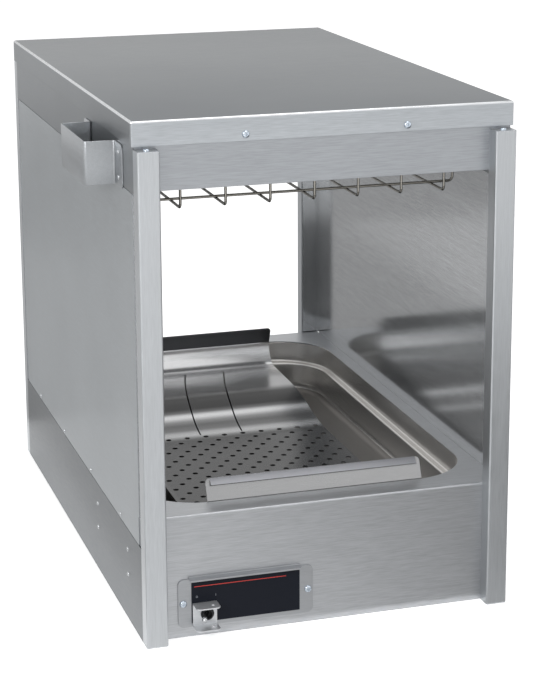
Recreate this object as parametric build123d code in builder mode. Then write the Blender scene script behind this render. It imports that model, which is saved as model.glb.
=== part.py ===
from build123d import *
import os
from math import atan2, cos, radians

os.makedirs("parts", exist_ok=True)

# Pass-through holding station for fried food, in millimetres.
# X runs from the left side to the right side, Y from the operator's front to the rear, Z is up.
# The origin is the centre of the cabinet's rest face.

# Cabinet sizes
body_width = 400.0  # across the outer faces of the corner posts
body_depth = 670.0  # front faces of the front posts to the back faces of the rear posts
post_height = 519.0
post_face = 23.0
post_depth = 18.0
post_wall = 1.5
deck_height = 134.0
seam_drop = 31.0  # deck to the top edge of the base sides
hood_drop = 45.0  # post tops to the lower edge of the hood sides
header_rise = 2.0  # headers' lower edges above the hood seam
lid_gap = 2.8  # post tops to the lid's lower edge
lid_height = 25.4
lid_overhang = 2.75
lid_setback = 15.0  # lid front behind the posts' front faces
sheet = 1.2
bend = 2.0  # outside radius of a sheet bend
seam_gap = 0.8
lap = 12.0  # sheet that runs behind its neighbour at a seam
flange = 15.0

# Opening and drawn pan
side_rim = 14.8  # deck beside the opening
end_rim = 31.5  # deck before and behind the opening
opening_radius = 70.0
pan_wall = 1.0
pan_clearance = 1.0  # pan wall behind the edge of the deck opening
pan_flange = 9.0
shoulder_drop = 27.7  # deck top to the pan's shoulder
shoulder_width = 8.0
shoulder_bend = 1.5  # bevel of the bends at the shoulder
pan_depth = 64.0  # deck to the pan's inner floor
pan_draft = 4.0  # degrees
pan_bottom_bend = 7.0  # bevel of the bend round the floor

# Curved perforated ribbon that hangs in the pan
ribbon_side = 64.0  # ribbon in from the opening's sides
ribbon_sheet = 1.2
ribbon_gap = 2.0  # ribbon walls inside the deck opening
seat_gap = 0.3  # ribbon above the pan's shoulder
ribbon_depth = 46.0  # deck to the top of the perforated floor
ribbon_step = 7.5  # front wall in from the shoulder edge
step_radius = 1.6
ramp_run = 211.5  # start of the ramp ahead of the rear wall
ramp_corner_run = 133.5
ramp_corner_depth = 29.5
ramp_radius = 150.0
heel_radius = 5.2
guard_rise = 22.5  # guard above the deck
guard_lean = 9.5  # guard towards the pan over its rise
hem_run = 6.5
hem_drop = 6.0
hem_setback = 5.0  # mitre at the ends of the hem
guard_corner = 5.0
hole_across = 6.4
hole_sides = 4
hole_margin = 8.0
column_pitch = 23.4
row_pitch = 15.6
last_row_run = 226.7  # rearmost holes ahead of the rear wall
slot_width = 1.5
slot_pitch = 52.4
slot_run = 220.5  # front end of a slot ahead of the rear wall
slot_end = 27.5
slot_shift = -8.0  # slot pair from the middle, at the front
slot_sweep = 31.5  # sideways run of a slot from front to rear
slot_bow = 6.0

# Wire guard under the heating elements
wire = 3.0
wire_sides = 4
weld_sink = 0.4  # one wire pressed into the other at a weld
wire_count = 7
wire_margin = 23.2  # outer wires in from the ring's sides
wire_drop = 27.0  # lower wires below the headers
wire_bend = 5.0
guard_inset = 39.0  # wire bends behind the header faces
cross_inset = 34.0  # cross wires behind the wire bends
ring_rise = 5.0  # ring above the headers' lower edges
ring_inset = 32.8  # ring in from the sides
clip_width = 14.0
clip_sheet = 1.2
clip_inset = 46.0  # clips in from the ring's sides

# Reflector and heating elements
reflector_flange = 30.0
reflector_slope = 25.0
reflector_rise = 24.0
reflector_sheet = 0.8
reflector_inset = 1.0
element_radius = 4.0
element_spacing = 140.0
insulator_width = 20.0
insulator_depth = 12.0
insulator_inset = 60.8  # ceramic blocks behind the headers
terminal_width = 6.3
terminal_sheet = 0.8
terminal_length = 10.0

# Control plate, at the lower left of the front
plate_width = 147.0
plate_height = 53.0
plate_sheet = 1.5
plate_corner = 6.0
plate_inset = 37.7  # plate in from the left side
plate_bottom = 11.0
visor_inset = 11.8
visor_margin = 14.2
visor_reach = 8.0
visor_drop = 2.2
visor_rise = 2.5
label_inset = 2.5  # label in from the visor's left end
label_margin = 0.5
label_drop = 4.0  # label below the plate's top edge
label_sheet = 0.4
label_rise = 4.2

# Toggle switch and its guard
switch_inset = 30.7  # switch in from the plate's left edge
switch_rise = 13.6
bushing_radius = 5.9
bushing_fit = 0.3
bushing_reach = 3.2  # ahead of the guard's back plate
bushing_wall = 1.0
round_sides = 16  # flats of the bushing, its holes and its nut
switch_case_width = 15.0
switch_case_height = 24.0
switch_case_depth = 30.0
nut_radius = 7.2
nut_height = 2.2
lever_throw = 22.0  # degrees each side of the middle
lever_length = 19.0
lever_root = 1.7
lever_middle = 2.2
lever_step = 6.0  # where the bat thickens
lever_tip = 3.0
lever_sides = 8
pivot_radius = 2.6
pivot_clearance = 0.2
pivot_half = 1.2  # half the thickness of the ball's disc
pivot_depth = 1.0  # ball behind the nut's face
guard_width = 26.0
guard_height = 25.6
guard_side = 15.4  # guard's left edge from the switch
guard_drop = 12.9
guard_reach = 19.0
guard_sheet = 1.2
guard_round = 5.0
guard_hole_radius = 1.9
guard_hole_shift = 4.0
guard_hole_back = 11.0

# Fasteners
screw_head = 4.0
screw_head_height = 2.4
post_screw_head = 3.2
post_screw_head_height = 1.8
rivet_head = 2.6
rivet_head_height = 1.2
head_sides = 8
lid_screw_inset = 114.4
lid_screw_rise = 6.7
rivet_row_rise = 4.0
rivet_row_inset = 112.25
rivet_row_count = 4
plate_screw_inset = 5.4
hole_fit = 0.15  # radial room of a part in its hole

# Scoop holder on the left side of the hood
holder_reach = 32.0
holder_length = 117.0
holder_height = 45.0
holder_drop = 3.0  # holder below the hood seam
holder_inset = 92.0  # holder behind the posts' front faces
holder_flange = 31.0
holder_corner = 6.0
holder_sheet = 1.5
holder_rivet_back = 15.5
holder_rivet_pitch = 26.0

# Inside the base
heater_side = 44.0  # heater in from the opening's sides
heater_end = 50.5
heater_height = 6.0
heater_corner = 12.0
thermostat_radius = 8.0
thermostat_height = 11.0
thermostat_sides = 12
thermostat_ear = 1.0
bracket_inset = 50.8  # bracket behind the front apron
bracket_length = 166.0
bracket_drop = 25.0  # bracket's shelf below the pan
bracket_gap = 3.0  # bracket below the lap of the base side
bracket_shelf = 38.0
bracket_sheet = 1.5
bracket_rivet_inset = 10.0
bracket_rivet_edge = 8.0
block_length = 62.0
block_width = 24.0
block_height = 18.0
block_poles = 4
inlet_inset = 80.0  # inlet in from the right side
inlet_z = 42.0
inlet_bore = 4.5
inlet_neck = 8.0
inlet_head = 11.0
inlet_head_length = 5.0
inlet_sides = 8
inlet_lip = 1.5
inlet_bevel = 1.0
inlet_tail = 9.0

# Reveal strips and notches where the side panels meet the posts
reveal_width = 6.5
reveal_depth = 1.0
notch_width = 9.4
notch_height = 29.0

# Places worked out from the sizes above
half_width = body_width / 2
half_depth = body_depth / 2
face_y = half_depth - post_depth  # outer faces of the aprons and headers
inner_x = half_width - sheet  # inner faces of the sides
inner_y = face_y - sheet
base_seam = deck_height - seam_drop
hood_seam = post_height - hood_drop
hood_bottom = hood_seam + header_rise
lid_bottom = post_height + lid_gap
lid_top = lid_bottom + lid_height
ceiling = lid_top - sheet
lid_y = half_depth - lid_setback
deck_under = deck_height - sheet
opening_width = 2 * (inner_x - side_rim)
opening_length = 2 * (face_y - end_rim)
shoulder_z = deck_height - shoulder_drop
pan_floor = deck_height - pan_depth
pan_half_x = opening_width / 2 + pan_clearance
pan_half_y = opening_length / 2 + pan_clearance
pan_under = pan_floor - pan_wall
ribbon_width = opening_width - 2 * ribbon_side
ribbon_floor = deck_height - ribbon_depth
ring_z = hood_bottom + ring_rise
ring_half_width = inner_x - ring_inset
wire_pitch = 2 * (ring_half_width - wire_margin) / (wire_count - 1)
low_wire_z = hood_bottom - wire_drop
guard_y = face_y - guard_inset
cross_y = guard_y - cross_inset
reflector_z = hood_seam + lap
plate_left = plate_inset - half_width
visor_left = plate_left + visor_inset
visor_width = plate_width - visor_inset - visor_margin
label_left = visor_left + label_inset
label_width = visor_width - label_inset - label_margin
label_bottom = plate_bottom + label_rise
label_height = plate_height - label_rise - label_drop
switch_x = plate_left + switch_inset
switch_z = plate_bottom + switch_rise
guard_left = switch_x - guard_side
guard_bottom = switch_z - guard_drop
holder_bottom = hood_seam - holder_drop
holder_front = holder_inset - half_depth
bracket_front = bracket_inset - inner_y
bracket_bottom = pan_under - bracket_drop
bracket_height = base_seam - lap - bracket_gap - bracket_bottom
inlet_x = half_width - inlet_inset
plate_face = -face_y - plate_sheet
label_face = plate_face - label_sheet
guard_face = label_face - guard_sheet
nut_face = guard_face - nut_height


# Bent strip of sheet metal: the outline along the given points, one wall thick
def strip(points, wall, side=Side.LEFT):
    with BuildLine() as outline:
        Polyline(*points)
        offset(amount=wall, side=side, kind=Kind.INTERSECTION)
    return outline.edges()


# Top lid: a tray turned upside down, with its skirt all round
with BuildPart() as top_lid:
    with BuildSketch(Plane.XY.offset(lid_bottom)):
        Rectangle(body_width + 2 * lid_overhang, 2 * lid_y)
    extrude(amount=lid_height)
    chamfer(top_lid.edges().filter_by(Axis.Z), bend)
    chamfer(top_lid.faces().sort_by(Axis.Z)[-1].edges(), bend / 2)
    with BuildSketch(Plane.XY.offset(lid_bottom)):
        Rectangle(body_width + 2 * (lid_overhang - sheet), 2 * (lid_y - sheet))
    extrude(amount=lid_height - sheet, mode=Mode.SUBTRACT)
top_lid.part.label = "top_lid"
export_step(top_lid.part, "parts/top_lid.step")


# Header under the lid: face, top flange and a lower return with an upturned lip
def header(front):
    points = [
        (-inner_y + lap, ceiling - sheet),
        (-face_y + sheet, ceiling - sheet),
        (-face_y + sheet, hood_bottom + sheet),
        (-face_y + flange - sheet, hood_bottom + sheet),
        (-face_y + flange - sheet, hood_bottom + lap),
    ]
    with BuildPart() as piece:
        with BuildSketch(Plane.YZ.offset(-inner_x)):
            make_face(strip(points, sheet, Side.RIGHT))
        extrude(amount=2 * inner_x)
    return piece.part if front else piece.part.mirror(Plane.XZ)


for name, front in (("hood_front_header", True), ("hood_rear_header", False)):
    piece = header(front)
    piece.label = name
    export_step(piece, "parts/" + name + ".step")


# Hood side: the wall, an inward top flange and a joggled lap behind the side panel
def hood_side(left):
    with BuildPart() as piece:
        with BuildSketch(Plane.XZ.offset(-face_y)):
            with Locations((half_width - sheet, hood_seam)):
                Rectangle(sheet, ceiling - hood_seam, align=(Align.MIN, Align.MIN))
        extrude(amount=2 * face_y)
        with BuildSketch(Plane.XZ.offset(-(inner_y - 2 * lap))):
            with Locations((inner_x - sheet, hood_seam - lap)):
                Rectangle(sheet, 2 * lap, align=(Align.MIN, Align.MIN))
            with Locations((inner_x - lap, ceiling - sheet)):
                Rectangle(lap, sheet, align=(Align.MIN, Align.MIN))
        extrude(amount=2 * (inner_y - 2 * lap))
    return piece.part.mirror(Plane.YZ) if left else piece.part


# Rivets of the scoop holder, as places on the side's own plane
def holder_rivets():
    rear = holder_front + holder_length
    low = holder_bottom + (holder_height - holder_rivet_pitch) / 2
    return [
        (y, z)
        for y in (holder_front - holder_rivet_back, rear + holder_rivet_back)
        for z in (low, low + holder_rivet_pitch)
    ]


for name, left in (("hood_side_left", True), ("hood_side_right", False)):
    piece = hood_side(left)
    piece.label = name
    export_step(piece, "parts/" + name + ".step")


# Rivets along the seam, as places on the side's own plane
def seam_rivets():
    first = rivet_row_inset - half_depth
    pitch = -2 * first / (rivet_row_count - 1)
    return [(first + i * pitch, base_seam + seam_gap + rivet_row_rise) for i in range(rivet_row_count)]


# Rivets of the component bracket in the left base side
def bracket_rivets():
    return [
        (y, z)
        for y in (bracket_front + bracket_rivet_inset, bracket_front + bracket_length - bracket_rivet_inset)
        for z in (bracket_bottom + bracket_rivet_edge, bracket_bottom + bracket_height - bracket_rivet_edge)
    ]


# Side panel of the holding space: end flanges face the posts, with a reveal strip and a notch at each end
def side_panel(left):
    low = base_seam + seam_gap
    high = hood_seam - seam_gap
    flange_x = half_width - post_face + post_wall
    with BuildPart() as piece:
        with BuildSketch(Plane.XY.offset(low)):
            with Locations((inner_x, 0)):
                Rectangle(sheet, 2 * face_y, align=(Align.MIN, Align.CENTER))
            with Locations((flange_x, -face_y), (flange_x, face_y - sheet)):
                Rectangle(inner_x - flange_x, sheet, align=(Align.MIN, Align.MIN))
        extrude(amount=high - low)
        with BuildSketch(Plane.XY.offset(low)):
            with Locations((half_width - reveal_depth, -face_y), (half_width - reveal_depth, face_y - reveal_width)):
                Rectangle(reveal_depth, reveal_width, align=(Align.MIN, Align.MIN))
        extrude(amount=high - low, mode=Mode.SUBTRACT)
        with BuildSketch(Plane.XY.offset(low)):
            with Locations((inner_x - sheet, -face_y), (inner_x - sheet, face_y - reveal_width)):
                Rectangle(sheet, reveal_width, align=(Align.MIN, Align.MIN))
        extrude(amount=high - low)
        with BuildSketch(Plane.XY.offset(low)):
            with Locations((flange_x, -face_y), (flange_x, face_y - notch_width)):
                Rectangle(half_width - flange_x, notch_width, align=(Align.MIN, Align.MIN))
        extrude(amount=deck_height + seam_gap - low, mode=Mode.SUBTRACT)
    return piece.part.mirror(Plane.YZ) if left else piece.part


for name, left in (("side_panel_left", True), ("side_panel_right", False)):
    piece = side_panel(left)
    piece.label = name
    export_step(piece, "parts/" + name + ".step")


# Base side: the wall below the seam, with a lap strip behind the side panel
def base_side(left):
    with BuildPart() as piece:
        with BuildSketch(Plane.XZ.offset(-face_y)):
            with Locations((inner_x, 0)):
                Rectangle(sheet, base_seam, align=(Align.MIN, Align.MIN))
        extrude(amount=2 * face_y)
        with BuildSketch(Plane.XZ.offset(-(inner_y - 2 * flange))):
            with Locations((inner_x - sheet, base_seam - lap)):
                Rectangle(sheet, 2 * lap, align=(Align.MIN, Align.MIN))
        extrude(amount=2 * (inner_y - 2 * flange))
    return piece.part.mirror(Plane.YZ) if left else piece.part


for name, left in (("base_side_left", True), ("base_side_right", False)):
    piece = base_side(left)
    piece.label = name
    export_step(piece, "parts/" + name + ".step")

# Deck and aprons: one sheet bent down at the front and rear, with side returns on the aprons
with BuildPart() as deck_shell:
    with BuildSketch(Plane.YZ.offset(-inner_x)) as deck_profile:
        Rectangle(2 * face_y, deck_height, align=(Align.CENTER, Align.MIN))
        fillet(deck_profile.vertices().group_by(Axis.Y)[-1], bend)
    extrude(amount=2 * inner_x)
    with BuildSketch(Plane.YZ.offset(-inner_x)):
        Rectangle(2 * inner_y, deck_under, align=(Align.CENTER, Align.MIN))
    extrude(amount=2 * inner_x, mode=Mode.SUBTRACT)
    with BuildSketch(Plane.XY.offset(flange)):
        for sx in (-1, 1):
            for sy in (-1, 1):
                with Locations((sx * (inner_x - sheet / 2), sy * (inner_y - flange / 2))):
                    Rectangle(sheet, flange)
    extrude(amount=deck_under - flange)
    with BuildSketch(Plane.XY.offset(deck_under)):
        RectangleRounded(opening_width, opening_length, opening_radius)
    extrude(amount=sheet, mode=Mode.SUBTRACT)
    with BuildSketch(Plane.XZ.offset(inner_y)):
        with Locations((switch_x, switch_z)):
            RegularPolygon(bushing_radius + bushing_fit, round_sides)
    extrude(amount=sheet, mode=Mode.SUBTRACT)
    with BuildSketch(Plane.XZ.offset(-face_y)):
        with Locations((inlet_x, inlet_z)):
            RegularPolygon(inlet_neck + hole_fit, inlet_sides)
    extrude(amount=sheet, mode=Mode.SUBTRACT)
deck_shell.part.label = "deck_shell"
export_step(deck_shell.part, "parts/deck_shell.step")

# Bottom plate: a shallow tray with a turned-up rim
with BuildPart() as bottom_plate:
    with BuildSketch():
        Rectangle(2 * inner_x, 2 * inner_y)
    extrude(amount=lap)
    with BuildSketch(Plane.XY.offset(sheet)):
        Rectangle(2 * (inner_x - sheet), 2 * (inner_y - sheet))
    extrude(amount=lap - sheet, mode=Mode.SUBTRACT)
bottom_plate.part.label = "bottom_plate"
export_step(bottom_plate.part, "parts/bottom_plate.step")


# Form of the drawn pan at its inner face, or grown outwards by a wall
def pan_form(grow):
    top_x = pan_half_x + grow
    top_y = pan_half_y + grow
    top_radius = opening_radius + pan_clearance + grow
    step_z = shoulder_z - grow
    with BuildPart() as form:
        with BuildSketch(Plane.XY.offset(step_z)):
            RectangleRounded(2 * top_x, 2 * top_y, top_radius)
        extrude(amount=deck_under - step_z)
        with BuildSketch(Plane.XY.offset(step_z)):
            RectangleRounded(
                2 * (top_x - shoulder_width), 2 * (top_y - shoulder_width), top_radius - shoulder_width
            )
        extrude(amount=pan_floor - shoulder_z, taper=pan_draft)
        if grow == 0:
            chamfer(form.faces().sort_by(Axis.Z)[0].edges(), pan_bottom_bend)
            step_face = form.faces().filter_by(Axis.Z).sort_by(Axis.Z)[1]
            chamfer(step_face.outer_wire().edges(), shoulder_bend)
        step_face = form.faces().filter_by(Axis.Z).sort_by(Axis.Z)[1]
        chamfer(step_face.inner_wires()[0].edges(), shoulder_bend)
    return form.part


# Drawn pan with a shoulder, hung by its flange under the deck
with BuildPart() as food_pan:
    add(pan_form(pan_wall))
    add(pan_form(0), mode=Mode.SUBTRACT)
    with BuildSketch(Plane.XY.offset(deck_under - pan_wall)):
        RectangleRounded(
            2 * (pan_half_x + pan_flange), 2 * (pan_half_y + pan_flange), opening_radius + pan_clearance + pan_flange
        )
        RectangleRounded(2 * pan_half_x, 2 * pan_half_y, opening_radius + pan_clearance, mode=Mode.SUBTRACT)
    extrude(amount=pan_wall)
food_pan.part.label = "food_pan"
export_step(food_pan.part, "parts/food_pan.step")

# Ribbon: one strip of sheet from the front guard, down into the pan, along the floor,
# up the curved ramp and out over the rear edge to the rear guard
wall_y = opening_length / 2 - ribbon_gap
seat_z = shoulder_z + seat_gap
floor_under = ribbon_floor - ribbon_sheet
last_row = wall_y - last_row_run
hole_rows = int((last_row + wall_y - 2 * ribbon_step - hole_margin) / row_pitch) + 1
hole_columns = int((ribbon_width - 2 * hole_margin - column_pitch / 2) / column_pitch) + 1
slot_front = wall_y - slot_run
slot_rear = wall_y - slot_end
with BuildPart() as fry_ribbon:
    with BuildSketch(Plane.YZ.offset(-ribbon_width / 2)):
        with BuildLine() as ribbon_line:
            front_step = FilletPolyline(
                (-wall_y, deck_height),
                (-wall_y, seat_z),
                (-wall_y + ribbon_step, seat_z),
                (-wall_y + 2 * ribbon_step, floor_under),
                (0, floor_under),
                radius=step_radius,
            )
            ramp = FilletPolyline(
                (0, floor_under),
                (wall_y - ramp_run, floor_under),
                (wall_y - ramp_corner_run, deck_height - ramp_corner_depth),
                (wall_y - 2 * heel_radius, seat_z),
                radius=ramp_radius,
            )
            heel = FilletPolyline(
                (wall_y - 2 * heel_radius, seat_z),
                (wall_y, seat_z),
                (wall_y, deck_height),
                radius=heel_radius,
            )
            offset(amount=ribbon_sheet, side=Side.LEFT, kind=Kind.INTERSECTION)
        make_face()
    extrude(amount=ribbon_width)
    # Guards above the deck, leaning over the pan
    for direction in (-1, 1):
        guard_points = [
            (direction * wall_y, deck_height),
            (direction * (wall_y - guard_lean), deck_height + guard_rise),
        ]
        guard_normal = ribbon_sheet / cos(atan2(guard_lean, guard_rise))
        with BuildSketch(Plane.YZ.offset(-ribbon_width / 2)):
            with BuildLine():
                Polyline(
                    guard_points[0],
                    guard_points[1],
                    (guard_points[1][0] - direction * guard_normal, guard_points[1][1]),
                    (guard_points[0][0] - direction * guard_normal, guard_points[0][1]),
                    close=True,
                )
            make_face()
        extrude(amount=ribbon_width)
    # Rounded upper corners of the guards
    with BuildSketch(Plane.XZ) as guard_outline:
        with Locations((0, floor_under)):
            Rectangle(ribbon_width, deck_height + guard_rise - floor_under, align=(Align.CENTER, Align.MIN))
        fillet(guard_outline.vertices().group_by(Axis.Z)[-1], guard_corner)
    extrude(amount=half_depth, both=True, mode=Mode.INTERSECT)
    # Hems folded forward at the front and back at the rear
    for direction in (-1, 1):
        top_y = direction * (wall_y - guard_lean)
        top_z = deck_height + guard_rise
        hem_across = ribbon_sheet / cos(atan2(hem_run, hem_drop))
        with BuildSketch(Plane.YZ.offset(-ribbon_width / 2 + hem_setback)):
            with BuildLine():
                Polyline(
                    (top_y - direction * guard_normal, top_z),
                    (top_y, top_z),
                    (top_y + direction * hem_run, top_z - hem_drop),
                    (top_y + direction * hem_run, top_z - hem_drop - hem_across),
                    (top_y - direction * guard_normal, top_z - hem_across),
                    close=True,
                )
            make_face()
        extrude(amount=ribbon_width - 2 * hem_setback)
    # Staggered perforations in the floor
    with BuildSketch(Plane.XY.offset(floor_under)):
        for row in range(hole_rows):
            stagger = column_pitch / 4 if row % 2 == 0 else -column_pitch / 4
            first_x = stagger - column_pitch * (hole_columns - 1) / 2
            with Locations(*[(first_x + i * column_pitch, last_row - row * row_pitch) for i in range(hole_columns)]):
                RegularPolygon(hole_across / 2, hole_sides)
    extrude(amount=ribbon_sheet * 2, mode=Mode.SUBTRACT)
    # Two curved slots up the ramp
    with BuildSketch(Plane.XY.offset(floor_under)):
        for side in (-1, 1):
            foot_x = slot_shift + side * slot_pitch / 2
            middle = (slot_front + slot_rear) / 2
            with BuildLine():
                ThreePointArc(
                    (foot_x - slot_width / 2, slot_front),
                    (foot_x - slot_width / 2 + slot_sweep / 2 - slot_bow, middle),
                    (foot_x - slot_width / 2 + slot_sweep, slot_rear),
                )
                Line(
                    (foot_x - slot_width / 2 + slot_sweep, slot_rear),
                    (foot_x + slot_width / 2 + slot_sweep, slot_rear),
                )
                ThreePointArc(
                    (foot_x + slot_width / 2 + slot_sweep, slot_rear),
                    (foot_x + slot_width / 2 + slot_sweep / 2 - slot_bow, middle),
                    (foot_x + slot_width / 2, slot_front),
                )
                Line((foot_x + slot_width / 2, slot_front), (foot_x - slot_width / 2, slot_front))
            make_face()
    extrude(amount=deck_height - floor_under, mode=Mode.SUBTRACT)
fry_ribbon.part.label = "fry_ribbon"
export_step(fry_ribbon.part, "parts/fry_ribbon.step")


# Corner post: a channel closed at its top and bottom by bent tabs
def corner_post(sx, sy):
    centre_x = half_width - post_face / 2
    with BuildPart() as piece:
        with BuildSketch():
            with Locations((centre_x, -face_y)):
                Rectangle(post_face, post_depth, align=(Align.CENTER, Align.MAX))
        extrude(amount=post_height)
        fillet(piece.edges().filter_by(Axis.Z).group_by(Axis.Y)[0], bend)
        with BuildSketch(Plane.XY.offset(post_wall)):
            with Locations((centre_x, -face_y)):
                Rectangle(post_face - 2 * post_wall, post_depth - post_wall, align=(Align.CENTER, Align.MAX))
        extrude(amount=post_height - 2 * post_wall, mode=Mode.SUBTRACT)
    shape = piece.part
    if sx < 0:
        shape = shape.mirror(Plane.YZ)
    if sy > 0:
        shape = shape.mirror(Plane.XZ)
    return shape


for name, sx, sy in (
    ("post_front_left", -1, -1),
    ("post_front_right", 1, -1),
    ("post_rear_left", -1, 1),
    ("post_rear_right", 1, 1),
):
    piece = corner_post(sx, sy)
    piece.label = name
    export_step(piece, "parts/" + name + ".step")

# Heads of screws or rivets on a plane, each a low cone frustum with its flat side down
def heads(plane, places, radius, height):
    with BuildPart() as group:
        with BuildSketch(plane):
            with Locations(*places):
                RegularPolygon(radius, head_sides)
        extrude(amount=height)
        tops = group.faces().sort_by(Axis(plane.origin, plane.z_dir))[-len(places) :]
        chamfer(tops.edges(), height / 2)
    return group.part


# Screws in the post tops: low heads under the lid's edge
post_screw_x = half_width - post_face / 2
post_screw_y = face_y + post_depth / 2
post_screws = heads(
    Plane.XY.offset(post_height),
    [(sx * post_screw_x, sy * post_screw_y) for sx in (-1, 1) for sy in (-1, 1)],
    post_screw_head,
    post_screw_head_height,
)
post_screws.label = "post_screws"
export_step(post_screws, "parts/post_screws.step")

# Reflector over the heating elements: a shallow trough that rests on the hood sides' laps
with BuildPart() as reflector:
    reflector_points = [
        (-inner_x, reflector_z),
        (-inner_x + reflector_flange, reflector_z),
        (-inner_x + reflector_flange + reflector_slope, reflector_z + reflector_rise),
        (inner_x - reflector_flange - reflector_slope, reflector_z + reflector_rise),
        (inner_x - reflector_flange, reflector_z),
        (inner_x, reflector_z),
    ]
    reflector_half = inner_y - flange - reflector_inset
    with BuildSketch(Plane.XZ.offset(-reflector_half)):
        make_face(strip(reflector_points, reflector_sheet))
    extrude(amount=2 * reflector_half)
reflector.part.label = "reflector"
export_step(reflector.part, "parts/reflector.step")

# Heating elements, each a sheathed rod between two ceramic blocks
reflector_ceiling = reflector_z + reflector_rise
element_z = reflector_ceiling - insulator_width + insulator_width / 3
insulator_place = inner_y - insulator_inset
rod_half = insulator_place - insulator_depth / 2
for name, sx in (("heating_element_left", -1), ("heating_element_right", 1)):
    with BuildPart() as element:
        with BuildSketch(Plane.XZ.offset(-rod_half)):
            with Locations((sx * element_spacing / 2, element_z)):
                Circle(element_radius)
        extrude(amount=2 * rod_half)
    element.part.label = name
    export_step(element.part, "parts/" + name + ".step")

# Ceramic blocks, each with a flat terminal tab on its outer side
with BuildPart() as element_insulators:
    with BuildSketch(Plane.XY.offset(reflector_ceiling - insulator_width)):
        with GridLocations(element_spacing, 2 * insulator_place, 2, 2):
            Rectangle(insulator_width, insulator_depth)
    extrude(amount=insulator_width)
    with BuildSketch(Plane.XY.offset(element_z)):
        with GridLocations(element_spacing, 2 * insulator_place + insulator_depth + terminal_length, 2, 2):
            Rectangle(terminal_width, terminal_length)
    extrude(amount=terminal_sheet)
element_insulators.part.label = "element_insulators"
export_step(element_insulators.part, "parts/element_insulators.step")


# Straight or bent wire of eight flats along the given points
def bent_wire(points, radius):
    with BuildPart() as rod:
        with BuildLine() as route:
            Polyline(*points)
        with BuildSketch(Plane(origin=points[0], z_dir=route.line % 0)):
            RegularPolygon(radius, wire_sides)
        sweep(transition=Transition.RIGHT)
    return rod.part


# Points of a wire that turns up at both ends, each bend cut in two steps
def cradle(a, b, low, top, along_y, place):
    cut = wire_bend * (1 - cos(radians(45)))
    flat = [(a, top), (a, low + wire_bend), (a + cut, low + cut), (a + wire_bend, low)]
    flat += [(b - wire_bend, low), (b - cut, low + cut), (b, low + wire_bend), (b, top)]
    return [(place, u, v) if along_y else (u, place, v) for u, v in flat]


# Wire guard: a ring on the clips, seven cradle wires and two cross wires welded over them
wire_shapes = []
for i in range(wire_count):
    place = (i - (wire_count - 1) / 2) * wire_pitch
    wire_shapes.append(bent_wire(cradle(-guard_y, guard_y, low_wire_z, ring_z, True, place), wire / 2))
for place in (-cross_y, cross_y):
    cross_z = low_wire_z + wire - weld_sink
    wire_shapes.append(bent_wire(cradle(-ring_half_width, ring_half_width, cross_z, ring_z, False, place), wire / 2))
with BuildPart() as wire_guard:
    with BuildSketch(Plane.XY.offset(ring_z - wire / 2)):
        RectangleRounded(2 * ring_half_width + wire, 2 * guard_y + wire, wire_bend)
        RectangleRounded(2 * ring_half_width - wire, 2 * guard_y - wire, wire_bend - wire, mode=Mode.SUBTRACT)
    extrude(amount=wire)
    for shape in wire_shapes:
        add(shape)
wire_guard.part.label = "wire_guard"
export_step(wire_guard.part, "parts/wire_guard.step")

# Clips that carry the wire guard on the headers' upturned lips
with BuildPart() as guard_clips:
    lip_y = face_y - flange
    clip_z = ring_z - wire / 2 - clip_sheet
    clip_points = [
        (-lip_y, hood_bottom + lap),
        (-lip_y, clip_z),
        (-guard_y + wire, clip_z),
    ]
    for sx in (-1, 1):
        with BuildSketch(Plane.YZ.offset(sx * (ring_half_width - clip_inset) - clip_width / 2)):
            make_face(strip(clip_points, clip_sheet, Side.LEFT))
        extrude(amount=clip_width)
    mirror(about=Plane.XZ)
guard_clips.part.label = "guard_clips"
export_step(guard_clips.part, "parts/guard_clips.step")

# Control plate with a visor bent out over the label
with BuildPart() as control_plate:
    plate_centre = (plate_left + plate_width / 2, plate_bottom + plate_height / 2)
    with BuildSketch(Plane.XZ.offset(face_y)):
        with Locations(plate_centre):
            RectangleRounded(plate_width, plate_height, plate_corner)
        with Locations((visor_left + visor_width / 2, plate_bottom + plate_height / 2)):
            Rectangle(visor_width, plate_height / 2 + visor_rise, align=(Align.CENTER, Align.MIN))
    extrude(amount=plate_sheet)
    visor_top = plate_bottom + plate_height + visor_rise
    visor_points = [
        (-face_y, visor_top),
        (-face_y - visor_reach, visor_top - visor_drop),
        (-face_y - visor_reach, visor_top - visor_drop - plate_sheet),
        (-face_y, visor_top - plate_sheet),
    ]
    with BuildSketch(Plane.YZ.offset(visor_left)):
        with BuildLine():
            Polyline(*visor_points, close=True)
        make_face()
    extrude(amount=visor_width)
    with BuildSketch(Plane.XZ.offset(face_y)):
        with Locations((switch_x, switch_z)):
            RegularPolygon(bushing_radius + bushing_fit, round_sides)
    extrude(amount=plate_sheet, mode=Mode.SUBTRACT)
control_plate.part.label = "control_plate"
export_step(control_plate.part, "parts/control_plate.step")

# Label sheet on the plate
with BuildPart() as control_label:
    with BuildSketch(Plane.XZ.offset(-plate_face)):
        with Locations((label_left, label_bottom)):
            Rectangle(label_width, label_height, align=(Align.MIN, Align.MIN))
        with Locations((switch_x, switch_z)):
            RegularPolygon(bushing_radius + bushing_fit, round_sides, mode=Mode.SUBTRACT)
    extrude(amount=label_sheet)
control_label.part.label = "control_label"
export_step(control_label.part, "parts/control_label.step")

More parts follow.
